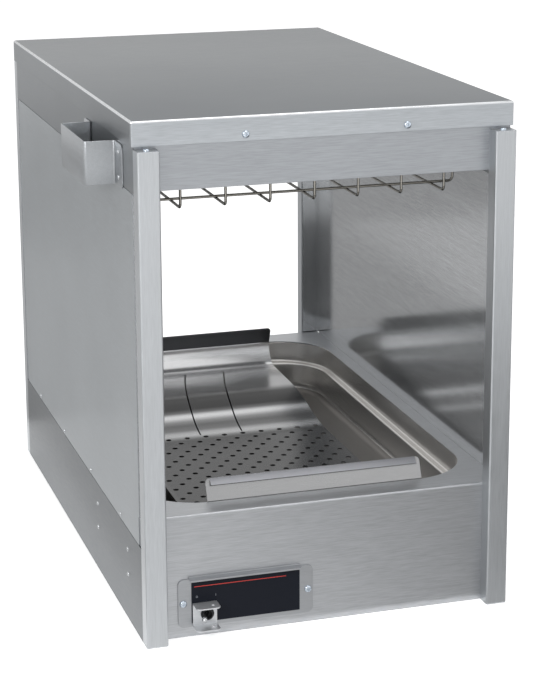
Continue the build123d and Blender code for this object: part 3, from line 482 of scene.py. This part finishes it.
# The given vertices and all that are joined to them
def joinedVerts(start):
    whole = set(start)
    grown = True
    while grown:
        linked = {e.other_vert(v) for v in whole for e in v.link_edges}
        grown = not linked <= whole
        whole |= linked
    return list(whole)


# Turns +Z to a direction and moves the vertices to a place
def layAlong(mesh, verts, place, direction):
    turn = Vector(direction).to_track_quat("Z", "Y").to_matrix().to_4x4()
    bmesh.ops.transform(mesh, matrix=Matrix.Translation(place) @ turn, verts=verts)


# A turned shape: radius and height pairs spun round +Z, then laid along a direction at a place
def turned(mesh, profile, place, direction, steps):
    verts = [mesh.verts.new((radius, 0, height)) for radius, height in profile]
    edges = [mesh.edges.new(pair) for pair in zip(verts, verts[1:])]
    bmesh.ops.spin(
        mesh, geom=verts + edges, cent=(0, 0, 0), axis=(0, 0, 1), dvec=(0, 0, 0), angle=math.tau,
        steps=steps, use_merge=True, use_duplicate=False,
    )
    whole = joinedVerts(verts)
    layAlong(mesh, whole, place, direction)
    return whole


# Lid: tray folded down on four sides, with a butt seam near each corner of its side skirts
lid = {
    "halfX": 202.75, "halfY": 320.0, "low": 521.8, "top": 547.2, "wall": 1.2, "bend": 2.0, "bendSteps": 4,
    "seamBack": 3.4, "seamWidth": 0.5, "seamDepth": 1.0, "seamTall": 40.0, "seamDrop": 23.0, "flatFrom": 0.985,
}
shape = bmesh.new()
addBlock(
    shape, (2 * lid["halfX"], 2 * lid["halfY"], lid["top"] - lid["low"]), (0, 0, (lid["top"] + lid["low"]) / 2),
)
upper = [e for e in shape.edges if any(v.co.z > lid["top"] - 1 for v in e.verts)]
bmesh.ops.bevel(
    shape, geom=upper, offset=lid["bend"], segments=lid["bendSteps"], profile=0.5, affect="EDGES", material=-1,
)
bottom = [f for f in shape.faces if f.calc_center_median().z < lid["low"] + 0.1 and abs(f.normal.z) > 0.9]
bmesh.ops.delete(shape, geom=bottom, context="FACES")
lidPiece = makePiece("lidTray", shape, lidSteel)
thicken(lidPiece, lid["wall"], -1.0)
groove = bmesh.new()
for sx in (-1, 1):
    for sy in (-1, 1):
        addBlock(
            groove, (lid["seamDepth"], lid["seamWidth"], lid["seamTall"]),
            (sx * lid["halfX"], sy * (lid["halfY"] - lid["seamBack"]), lid["top"] - lid["seamDrop"]),
        )
grooveCutter = makePiece("lidSeamCutter", groove, lidSteel)
cutAway(lidPiece, grooveCutter)
settle(lidPiece)


# The top keeps its own grain, the bends are brighter and the skirts follow the sheets below them. The tones go by the
# way
# each face turns: painted shade on the top, painted light on the skirts and a painted highlight on the bends
def lidPaint(face):
    if face.center.z > (lid["top"] - lid["bend"]) * mm and max(abs(part) for part in face.normal) < lid["flatFrom"]:
        return 3
    return 1 if abs(face.normal.y) > 0.6 else 2 if abs(face.normal.x) > 0.6 else 0


paintFaces(lidPiece, (skirtSteel, sideSteel, lidEdgeHighlight), lidPaint)
bpy.data.objects.remove(grooveCutter)
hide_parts("top_lid")
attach(lidPiece, "cabinet")
print("lid made")

# Drawn pan: flange under the deck, wall, shoulder, drafted lower wall and a floor on a wide bend
pan = {
    "halfX": 185.0, "halfY": 286.5, "corner": 71.0, "flange": 9.0, "flangeZ": 132.8, "shoulderZ": 106.3,
    "shoulder": 8.0, "floorZ": 70.0, "draft": 2.54, "wall": 1.0, "rimBend": 1.6, "shoulderBend": 2.4,
    "floorBend": 11.0, "bendSteps": 5, "dullAndShadedTo": 6.0,
}
shape = bmesh.new()
levels = (
    (pan["flange"], pan["flangeZ"]), (0.0, pan["flangeZ"]), (0.0, pan["shoulderZ"]),
    (-pan["shoulder"], pan["shoulderZ"]), (-pan["shoulder"] - pan["draft"], pan["floorZ"]),
)
rings = [
    roundedLoop(shape, pan["halfX"] + grow, pan["halfY"] + grow, pan["corner"] + grow, z) for grow, z in levels
]
for outer, inner in zip(rings, rings[1:]):
    bmesh.ops.bridge_loops(shape, edges=outer + inner)
bmesh.ops.contextual_create(shape, geom=rings[-1])
bends = (pan["rimBend"], pan["shoulderBend"], pan["shoulderBend"], pan["floorBend"])
for ring, bend in zip(rings[1:], bends):
    bmesh.ops.bevel(
        shape, geom=[e for e in ring if e.is_valid], offset=bend, segments=pan["bendSteps"], profile=0.5,
        affect="EDGES", clamp_overlap=True, material=-1,
    )
panPiece = makePiece("drawnPan", shape, panSteel)
facesUp = sum(f.normal.z * f.area for f in panPiece.data.polygons) > 0
thicken(panPiece, pan["wall"], -1.0 if facesUp else 1.0)
settle(panPiece)
# The floor and the foot of the lower wall get the duller, darker sheet: painted shade at the bottom of the pan
paintFaces(panPiece, (panFloorSteel,), lambda face: int(face.center.z < (pan["floorZ"] + pan["dullAndShadedTo"]) * mm))
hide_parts("food_pan")
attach(panPiece, "cabinet")
print("pan made")

# Ribbon: one strip of sheet bent from the front guard down through the pan and up the ramp to the rear guard,
# with hemmed guards, round perforations and two curved slots
ribbon = {
    "halfWidth": 120.0, "wall": 1.2, "guardCorner": 5.0, "lipFrom": 135.2, "floorZ": 87.4,
    "line": (
        (-273.4, 155.9), (-282.9, 134.0), (-282.9, 107.2), (-275.6, 107.2), (-268.1, 87.4), (72.0, 87.4),
        (150.0, 105.1), (282.9, 107.2), (282.9, 134.0), (273.4, 155.9)),
    "bends": (4.0, 1.6, 1.6, 2.4, 260.0, 300.0, 25.0, 4.0),
    "hemLine": ((272.9, 154.6), (273.6, 155.9), (280.1, 150.0)), "hemBend": 0.8, "hemSetback": 5.0,
    "holeRadius": 3.2, "holeSides": 14, "holeDepth": 10.0, "rows": 21, "columns": 10, "rowPitch": 15.6,
    "columnPitch": 23.4, "lastRow": 56.8,
    "slotFront": 63.0, "slotRear": 256.0, "slotWidth": 1.7, "slotPitch": 52.4, "slotShift": -8.0,
    "slotSweep": 31.5, "slotBow": 6.0, "slotSteps": 16, "slotLow": 80.0, "slotTall": 45.0,
}
shape = bmesh.new()
bentLine(shape, [(-ribbon["halfWidth"], y, z) for y, z in ribbon["line"]], ribbon["bends"])
sweepChain(shape, (2 * ribbon["halfWidth"], 0, 0))
corners = [v for v in shape.verts if v.co.z > 155.0 and len(v.link_edges) == 2]
bmesh.ops.bevel(
    shape, geom=corners, offset=ribbon["guardCorner"], segments=4, profile=0.5, affect="VERTICES", material=-1,
)
hemReach = ribbon["halfWidth"] - ribbon["hemSetback"]
for sy in (-1, 1):
    hem = bmesh.new()
    bentLine(hem, [(-hemReach, sy * y, z) for y, z in ribbon["hemLine"]], (ribbon["hemBend"],), 3)
    sweepChain(hem, (2 * hemReach, 0, 0))
    hemData = bpy.data.meshes.new("hem")
    hem.to_mesh(hemData)
    hem.free()
    shape.from_mesh(hemData)
    bpy.data.meshes.remove(hemData)
ribbonPiece = makePiece("fryRibbonSheet", shape, ribbonSteel)
thicken(ribbonPiece, ribbon["wall"], 0.0)
cutters = bmesh.new()
for row in range(ribbon["rows"]):
    stagger = ribbon["columnPitch"] / 4 * (1 if row % 2 == 0 else -1)
    for column in range(ribbon["columns"]):
        x = stagger + ribbon["columnPitch"] * (column - (ribbon["columns"] - 1) / 2)
        y = ribbon["lastRow"] - row * ribbon["rowPitch"]
        bmesh.ops.create_cone(
            cutters, cap_ends=True, segments=ribbon["holeSides"], radius1=ribbon["holeRadius"],
            radius2=ribbon["holeRadius"], depth=ribbon["holeDepth"],
            matrix=Matrix.Translation((x, y, ribbon["floorZ"])),
        )
for sx in (-1, 1):
    strip = bmesh.ops.create_grid(cutters, x_segments=1, y_segments=ribbon["slotSteps"], size=0.5)["verts"]
    for vert in strip:
        t = vert.co.y + 0.5
        vert.co.x = (
            ribbon["slotShift"] + sx * ribbon["slotPitch"] / 2 + vert.co.x * ribbon["slotWidth"]
            + ribbon["slotSweep"] * t - ribbon["slotBow"] * 4 * t * (1 - t)
        )
        vert.co.y = ribbon["slotFront"] + (ribbon["slotRear"] - ribbon["slotFront"]) * t
        vert.co.z = ribbon["slotLow"]
    faces = list({f for v in strip for f in v.link_faces})
    risen = bmesh.ops.extrude_face_region(cutters, geom=faces)["geom"]
    tops = [v for v in risen if isinstance(v, bmesh.types.BMVert)]
    bmesh.ops.translate(cutters, vec=(0, 0, ribbon["slotTall"]), verts=tops)
    bmesh.ops.reverse_faces(cutters, faces=faces)
holeCutter = makePiece("ribbonCutter", cutters, ribbonSteel)
cutAway(ribbonPiece, holeCutter)
settle(ribbonPiece)


# Past the bends of the guards, the front hem's upper faces and the rear lip get duller sheets with painted shade in
# their colour
def ribbonPaint(face):
    if face.center.z < ribbon["lipFrom"] * mm:
        return 0
    return 2 if face.center.y > 0 else int(face.normal.z > 0.6)


paintFaces(ribbonPiece, (lipSteel, rearLipSteel), ribbonPaint)
bpy.data.objects.remove(holeCutter)
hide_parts("fry_ribbon")
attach(ribbonPiece, "ribbon")
print("ribbon made")

# Wire guard: drawn wire with round bends, resistance welded where the wires cross
guard = {
    "radius": 1.5, "bend": 5.0, "bendSteps": 5, "halfY": 278.0, "ringX": 166.0, "lowZ": 449.0, "ringZ": 481.0,
    "count": 7, "pitch": 47.6, "crossY": 244.0, "crossZ": 451.6,
}


# Round wire along a bent line: the line becomes a curve with a round section, then a mesh
def wireRun(mesh, points):
    line = bmesh.new()
    bentLine(line, points, [guard["bend"]] * (len(points) - 2), guard["bendSteps"])
    here = [v for v in line.verts if len(v.link_edges) == 1][0]
    ordered = [here.co.copy()]
    past = None
    while True:
        ahead = [e.other_vert(here) for e in here.link_edges if e.other_vert(here) != past]
        if not ahead:
            break
        past, here = here, ahead[0]
        ordered.append(here.co.copy())
    line.free()
    curve = bpy.data.curves.new("wire", "CURVE")
    curve.dimensions = "3D"
    spline = curve.splines.new("POLY")
    spline.points.add(len(ordered) - 1)
    for spot, co in zip(spline.points, ordered):
        spot.co = (*co, 1)
    curve.bevel_depth = guard["radius"]
    curve.bevel_resolution = 2
    curve.use_fill_caps = True
    carrier = bpy.data.objects.new("wire", curve)
    bpy.context.scene.collection.objects.link(carrier)
    graph = bpy.context.evaluated_depsgraph_get()
    tube = bpy.data.meshes.new_from_object(carrier.evaluated_get(graph))
    mesh.from_mesh(tube)
    bpy.data.objects.remove(carrier)
    bpy.data.curves.remove(curve)
    bpy.data.meshes.remove(tube)


shape = bmesh.new()
x, y, z = guard["ringX"], guard["halfY"], guard["ringZ"]
for i in range(guard["count"]):
    run = (i - (guard["count"] - 1) / 2) * guard["pitch"]
    wireRun(shape, [(run, -y, z), (run, -y, guard["lowZ"]), (run, y, guard["lowZ"]), (run, y, z)])
for run in (-guard["crossY"], guard["crossY"]):
    wireRun(shape, [(-x, run, z), (-x, run, guard["crossZ"]), (x, run, guard["crossZ"]), (x, run, z)])
wireRun(shape, [(0, -y, z), (x, -y, z), (x, y, z), (-x, y, z), (-x, -y, z), (0, -y, z)])
guardPiece = makePiece("wireGuardWelded", shape, wireSteel)
softenShading(guardPiece, 60)
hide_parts("wire_guard")
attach(guardPiece, "cabinet")
print("wire guard made")

# Fasteners: low pan heads with a cross recess, and rivets with plain domes. Profiles are shares of the
# radius and of the height
screw = {
    "radius": 3.9, "height": 2.4, "sides": 24, "recessDepth": 1.2, "armShare": 0.38, "rimShare": 0.06,
    "profile": ((1, 0), (1, 0.3), (0.9, 0.68), (0.68, 0.9), (0.45, 1)),
}
postScrew = {**screw, "radius": 3.1, "height": 1.8}
rivet = {
    "radius": 2.55, "height": 1.2, "sides": 14, "profile": ((1, 0), (0.97, 0.35), (0.8, 0.7), (0.45, 0.95), (0, 1)),
}


# Closes a head's open top and sinks a cross into it
def sinkCross(mesh, head, size):
    edges = {e for v in head for e in v.link_edges}
    rim = [e for e in edges if e.is_boundary and all(v.co.z > size["height"] * 0.95 for v in e.verts)]
    face = bmesh.ops.contextual_create(mesh, geom=rim)["faces"]
    bmesh.ops.inset_region(mesh, faces=face, thickness=size["radius"] * size["rimShare"], depth=0)
    star = sorted(face[0].verts, key=lambda v: math.atan2(v.co.y, v.co.x))
    for i, vert in enumerate(star):
        if i % 6 not in (0, 1, 5):
            vert.co.xy *= size["armShare"]
    sunk = bmesh.ops.extrude_face_region(mesh, geom=face)["geom"]
    bmesh.ops.delete(mesh, geom=face, context="FACES_ONLY")
    low = [v for v in sunk if isinstance(v, bmesh.types.BMVert)]
    bmesh.ops.translate(mesh, vec=(0, 0, -size["recessDepth"]), verts=low)
    return joinedVerts(set(head) | set(low))


def fastenerSet(name, size, places, direction, material):
    shape = bmesh.new()
    profile = [(r * size["radius"], h * size["height"]) for r, h in size["profile"]]
    for place in places:
        head = turned(shape, profile, (0, 0, 0), (0, 0, 1), size["sides"])
        if "recessDepth" in size:
            head = sinkCross(shape, head, size)
        layAlong(shape, head, place, direction(place))
    piece = makePiece(name, shape, material)
    softenShading(piece, 50)
    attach(piece, "cabinet")
    return piece


def outward(place):
    return (math.copysign(1, place[0]), 0, 0)


fasteners = {
    "lidX": 85.6, "lidY": 320.0, "lidZ": 528.5, "plateX": (-156.9, -20.7), "plateY": -318.5, "plateZ": 37.5,
    "postX": 188.5, "postY": 326.0, "postZ": 519.0, "seamX": 200.0, "seamY": (-222.75, -74.25, 74.25, 222.75),
    "seamZ": 107.8, "bracketY": (-255.0, -109.0), "bracketZ": (52.0, 80.0),
    "holderX": -201.5, "holderY": (-258.5, -110.5), "holderZ": (480.5, 506.5),
}
lidScrews = fastenerSet(
    "lidScrewHeads", screw,
    [(sx * fasteners["lidX"], sy * fasteners["lidY"], fasteners["lidZ"]) for sx in (-1, 1) for sy in (-1, 1)],
    lambda place: (0, math.copysign(1, place[1]), 0), screwSteel,
)
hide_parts("lid_screws")
plateScrews = fastenerSet(
    "plateScrewHeads", screw, [(x, fasteners["plateY"], fasteners["plateZ"]) for x in fasteners["plateX"]],
    lambda place: (0, -1, 0), screwSteel,
)
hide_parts("plate_screws")
postScrews = fastenerSet(
    "postScrewHeads", postScrew,
    [(sx * fasteners["postX"], sy * fasteners["postY"], fasteners["postZ"]) for sx in (-1, 1) for sy in (-1, 1)],
    lambda place: (0, 0, 1), screwSteel,
)
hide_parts("post_screws")
for name, node, sx in (("seamRivetsLeft", "seam_rivets_left", -1), ("seamRivetsRight", "seam_rivets_right", 1)):
    places = [(sx * fasteners["seamX"], y, fasteners["seamZ"]) for y in fasteners["seamY"]]
    row = fastenerSet(name, rivet, places, outward, rivetSteel)
    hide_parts(node)
bracketRivets = fastenerSet(
    "bracketRivetHeads", rivet,
    [(-fasteners["seamX"], y, z) for y in fasteners["bracketY"] for z in fasteners["bracketZ"]], outward, rivetSteel,
)
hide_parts("bracket_rivets")
holderRivets = fastenerSet(
    "holderRivetHeads", rivet,
    [(fasteners["holderX"], y, z) for y in fasteners["holderY"] for z in fasteners["holderZ"]], outward, rivetSteel,
)
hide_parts("holder_rivets")
print("fasteners made")

# Scoop holder: bent sheet with rounded bends and broken edges
holder = {
    "side": -200.75, "reach": 32.0, "front": -243.0, "length": 117.0, "flange": 31.0, "low": 471.0, "height": 45.0,
    "wall": 1.5, "bend": 2.6, "flangeCorner": 6.0, "edge": 0.3,
}
shape = bmesh.new()
front = holder["front"] + holder["wall"] / 2
rear = holder["front"] + holder["length"] - holder["wall"] / 2
far = holder["side"] - holder["reach"]
tipFront = holder["front"] - holder["flange"]
tipRear = holder["front"] + holder["length"] + holder["flange"]
route = (
    (holder["side"], tipFront), (holder["side"], front), (far, front), (far, rear), (holder["side"], rear),
    (holder["side"], tipRear),
)
bentLine(shape, [(x, y, holder["low"]) for x, y in route], [holder["bend"]] * 4, 4)
sweepChain(shape, (0, 0, holder["height"]))
tips = [v for v in shape.verts if len(v.link_edges) == 2 and (v.co.y < tipFront + 1 or v.co.y > tipRear - 1)]
bmesh.ops.bevel(
    shape, geom=tips, offset=holder["flangeCorner"], segments=4, profile=0.5, affect="VERTICES", material=-1,
)
holderPiece = makePiece("scoopHolderSheet", shape, holderSteel)
thicken(holderPiece, holder["wall"], 0.0)
roundEdges(holderPiece, holder["edge"], 2, 60)
settle(holderPiece)
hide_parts("scoop_holder")
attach(holderPiece, "cabinet")
print("scoop holder made")

# Switch: round dress nut, and a bat lever that swells to a rounded tip. Lever profile: radius and height
switch = {
    "x": -131.6, "z": 24.6, "nutFace": -322.3, "nutBack": -320.1, "nutRadius": 7.1, "bore": 6.0, "nutEdge": 0.6,
    "nutStep": 0.7, "nutSides": 40, "pivotY": -318.7, "throw": 22.0, "leverSides": 28,
    "lever": (
        (0, -2.2), (1.5, -1.6), (2.3, -0.6), (2.3, 0.6), (1.6, 1.8), (1.65, 4), (2.1, 10.45), (2.7435, 17),
        (2.95, 19), (2.537, 20.475), (1.475, 21.537), (0, 21.95)),
}
shape = bmesh.new()
nutDeep = switch["nutBack"] - switch["nutFace"]
turned(
    shape,
    ((switch["bore"], 0), (switch["nutRadius"], 0), (switch["nutRadius"], nutDeep * switch["nutStep"]),
     (switch["nutRadius"] - switch["nutEdge"], nutDeep), (switch["bore"], nutDeep), (switch["bore"], 0)),
    (switch["x"], switch["nutBack"], switch["z"]), (0, -1, 0), switch["nutSides"],
)
nutPiece = makePiece("dressNut", shape, blackChrome)
softenShading(nutPiece)
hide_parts("switch_nut")
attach(nutPiece, "cabinet")
shape = bmesh.new()
turned(shape, switch["lever"], (0, 0, 0), (0, -1, 0), switch["leverSides"])
throw = Matrix.Rotation(math.radians(-switch["throw"]), 3, "Z")
bmesh.ops.rotate(shape, cent=(0, 0, 0), matrix=throw, verts=shape.verts)
bmesh.ops.translate(shape, vec=(switch["x"], switch["pivotY"], switch["z"]), verts=shape.verts)
leverPiece = makePiece("batLever", shape, chromePlate)
softenShading(leverPiece, 50)
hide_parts("toggle_lever")
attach(leverPiece, "lever")
print("switch made")

# Marks on the label: one thin line, and 0 and I over the lever's two places
marks = {
    "face": -318.94, "ink": 0.06, "lineX": (-145.0, -45.0), "lineZ": 55.3, "lineWidth": 0.8, "markZ": 44.0,
    "zeroX": -142.3, "zeroOuter": 1.15, "zeroInner": 0.8, "oneX": -121.8, "oneWidth": 0.4, "oneTall": 2.4,
}
shape = bmesh.new()
lineFrom, lineTo = marks["lineX"]
addBlock(
    shape, (lineTo - lineFrom, marks["ink"], marks["lineWidth"]),
    ((lineFrom + lineTo) / 2, marks["face"], marks["lineZ"]),
)
linePiece = makePiece("labelLine", shape, redInk)
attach(linePiece, "cabinet")
shape = bmesh.new()
outer, inner = marks["zeroOuter"], marks["zeroInner"]
turned(
    shape, ((outer, 0), (outer, marks["ink"]), (inner, marks["ink"]), (inner, 0), (outer, 0)),
    (marks["zeroX"], marks["face"] + marks["ink"] / 2, marks["markZ"]), (0, -1, 0), 20,
)
addBlock(shape, (marks["oneWidth"], marks["ink"], marks["oneTall"]), (marks["oneX"], marks["face"], marks["markZ"]))
markPiece = makePiece("labelMarks", shape, greyInk)
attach(markPiece, "cabinet")
print("label marks made")

# Camera: its place and lens come from the photograph's perspective
cameraLook = {
    "azimuth": -17.40, "elevation": 13.88, "roll": -0.19, "focalPx": 2070.0, "distanceMm": 2352.0,
    "targetMm": (29.9, -85.0, 323.7), "centrePx": (286.5, 272.0), "imagePx": (533, 680), "sensorMm": 36.0,
}
az = math.radians(cameraLook["azimuth"])
el = math.radians(cameraLook["elevation"])
back = Vector((math.sin(az) * math.cos(el), -math.cos(az) * math.cos(el), math.sin(el)))
right = Vector((math.cos(az), math.sin(az), 0))
basis = Matrix((right, back.cross(right), back)).transposed().to_4x4()
place = Vector(cameraLook["targetMm"]) * mm + back * cameraLook["distanceMm"] * mm
wide, tall = cameraLook["imagePx"]
cameraData = bpy.data.cameras.new("camera")
camera = bpy.data.objects.new("camera", cameraData)
bpy.context.scene.collection.objects.link(camera)
camera.matrix_world = Matrix.Translation(place) @ basis @ Matrix.Rotation(math.radians(cameraLook["roll"]), 4, "Z")
cameraData.sensor_fit = "VERTICAL"
cameraData.sensor_height = cameraLook["sensorMm"]
cameraData.lens = cameraLook["focalPx"] * cameraLook["sensorMm"] / tall
cameraData.shift_x = (wide / 2 - cameraLook["centrePx"][0]) / tall
cameraData.shift_y = (cameraLook["centrePx"][1] - tall / 2) / tall
cameraData.clip_end = 30.0
bpy.context.scene.camera = camera
print("camera set")

# Studio: a pale floor, a white surround, grey cards that only metal sees, and soft lamps. A card has a name,
# its size and place in metres, its tilt in degrees and its levels from left to right
studio = {
    "floorSize": 12.0, "floorHex": "#f2f2f2", "floorLift": 0.55, "floorDrop": 0.0003, "worldDiffuse": 0.6,
    "cards": (
        ("backCard", (8.0, 2.3), (0.3, 3.2, 1.15), 90, (0.9, 0.75)),
        ("rearTableCard", (6.0, 2.7), (0.0, 1.8, 0.001), 0, (0.45, 0.42)),
        ("leftTableCard", (2.4, 2.6), (-1.46, 0.2, 0.001), 0, (0.75, 0.7)),
        ("frontTableCard", (0.8, 0.985), (0.05, -0.8175, 0.001), 0, (1.3, 0.12)),
        ("frontRightCard", (1.6, 0.985), (1.25, -0.8175, 0.001), 0, (0.15, 0.15))),
    "lampAim": (0, 0, 0.3),
    "keyPlace": (-1.9, -1.9, 1.5), "keySize": 1.1, "keyPower": 26.0,
    "topPlace": (0.3, -0.5, 2.6), "topSize": 1.2, "topPower": 16.0,
    "fillPlace": (2.4, -1.6, 1.2), "fillSize": 1.0, "fillPower": 3.0,
    "hoodPlace": (0.0, 0.0, 0.44), "hoodSize": (0.34, 0.56), "hoodPower": 0.45,
}


# 1 for the rays that show a thing to the eye: straight, in a mirror or through glass
def seenByEye(tree):
    rays = addNode(tree, "ShaderNodeLightPath")
    seen = addNode(
        tree, "ShaderNodeMath", {"operation": "MAXIMUM"},
        {0: rays.outputs["Is Camera Ray"], 1: rays.outputs["Is Glossy Ray"]},
    )
    return addNode(
        tree, "ShaderNodeMath", {"operation": "MAXIMUM"},
        {0: seen.outputs[0], 1: rays.outputs["Is Transmission Ray"]},
    )


# A flat sheet of paper on the stage
def stageSheet(name, size, tilt, place):
    sheet = bmesh.new()
    bmesh.ops.create_grid(sheet, x_segments=1, y_segments=1, size=0.5)
    bmesh.ops.scale(sheet, vec=(size[0], size[1], 1), verts=sheet.verts)
    turn = Matrix.Rotation(math.radians(tilt), 3, "X")
    bmesh.ops.rotate(sheet, cent=(0, 0, 0), matrix=turn, verts=sheet.verts)
    data = bpy.data.meshes.new(name)
    sheet.to_mesh(data)
    sheet.free()
    paper = bpy.data.objects.new(name, data)
    bpy.context.scene.collection.objects.link(paper)
    paper.location = place
    return paper


floor = stageSheet("studioFloor", (studio["floorSize"], studio["floorSize"]), 0, (0, 0, -studio["floorDrop"]))
floorMaterial, tree = newMaterial("paperFloorPale")
lift = addNode(
    tree, "ShaderNodeMath", {"operation": "MULTIPLY", 1: studio["floorLift"]}, {0: seenByEye(tree).outputs[0]},
)
matte = addNode(
    tree, "ShaderNodeBsdfPrincipled",
    {"Base Color": hexColor(studio["floorHex"]), "Roughness": 0.9, "Specular IOR Level": 0.1,
     "Emission Color": (1, 1, 1, 1)},
    {"Emission Strength": lift.outputs[0]},
)
addNode(tree, "ShaderNodeOutputMaterial", links={"Surface": matte.outputs[0]})
floor.data.materials.append(floorMaterial)

world = bpy.data.worlds.new("whiteSurround")
bpy.context.scene.world = world
world.use_nodes = True
tree = world.node_tree
tree.nodes.clear()
strength = addNode(
    tree, "ShaderNodeMapRange", {"To Min": studio["worldDiffuse"], "To Max": 1.0},
    {"Value": seenByEye(tree).outputs[0]},
)
surround = addNode(tree, "ShaderNodeBackground", {"Color": (1, 1, 1, 1)}, {"Strength": strength.outputs[0]})
addNode(tree, "ShaderNodeOutputWorld", links={"Surface": surround.outputs[0]})


# Cards that only metal sees stand for the walls and the table of a room: one stands far behind, and the others
# lie behind the cabinet, to its left and in front, where they run from bright to dark
def greyCard(name, size, place, tilt, levels):
    card = stageSheet(name, size, tilt, place)
    card.visible_camera = False
    card.visible_shadow = False
    card.visible_diffuse = False
    material, tree = newMaterial(name + "Paper")
    spot = addNode(tree, "ShaderNodeTexCoord")
    split = addNode(tree, "ShaderNodeSeparateXYZ", None, {0: spot.outputs["Object"]})
    level = addNode(
        tree, "ShaderNodeMapRange",
        {"From Min": -size[0] / 2, "From Max": size[0] / 2, "To Min": levels[0], "To Max": levels[1]},
        {"Value": split.outputs[0]},
    )
    paper = addNode(tree, "ShaderNodeEmission", {"Color": (1, 1, 1, 1)}, {"Strength": level.outputs[0]})
    addNode(tree, "ShaderNodeOutputMaterial", links={"Surface": paper.outputs[0]})
    card.data.materials.append(material)


for card in studio["cards"]:
    greyCard(*card)


def softLamp(name, place, size, power):
    data = bpy.data.lights.new(name, "AREA")
    data.size = size
    data.energy = power
    lamp = bpy.data.objects.new(name, data)
    bpy.context.scene.collection.objects.link(lamp)
    lamp.location = place
    lamp.rotation_euler = (Vector(studio["lampAim"]) - Vector(place)).to_track_quat("-Z", "Y").to_euler()
    return lamp


softLamp("keyLamp", studio["keyPlace"], studio["keySize"], studio["keyPower"])
softLamp("topLamp", studio["topPlace"], studio["topSize"], studio["topPower"])
softLamp("fillLamp", studio["fillPlace"], studio["fillSize"], studio["fillPower"])
# A soft lamp inside the hood, unseen by the camera, lights the ramp and the pan
hoodLamp = softLamp("hoodLamp", studio["hoodPlace"], studio["hoodSize"][0], studio["hoodPower"])
hoodLamp.data.shape = "RECTANGLE"
hoodLamp.data.size_y = studio["hoodSize"][1]
hoodLamp.visible_camera = False
bpy.context.scene.view_settings.view_transform = "Standard"
print("studio set")
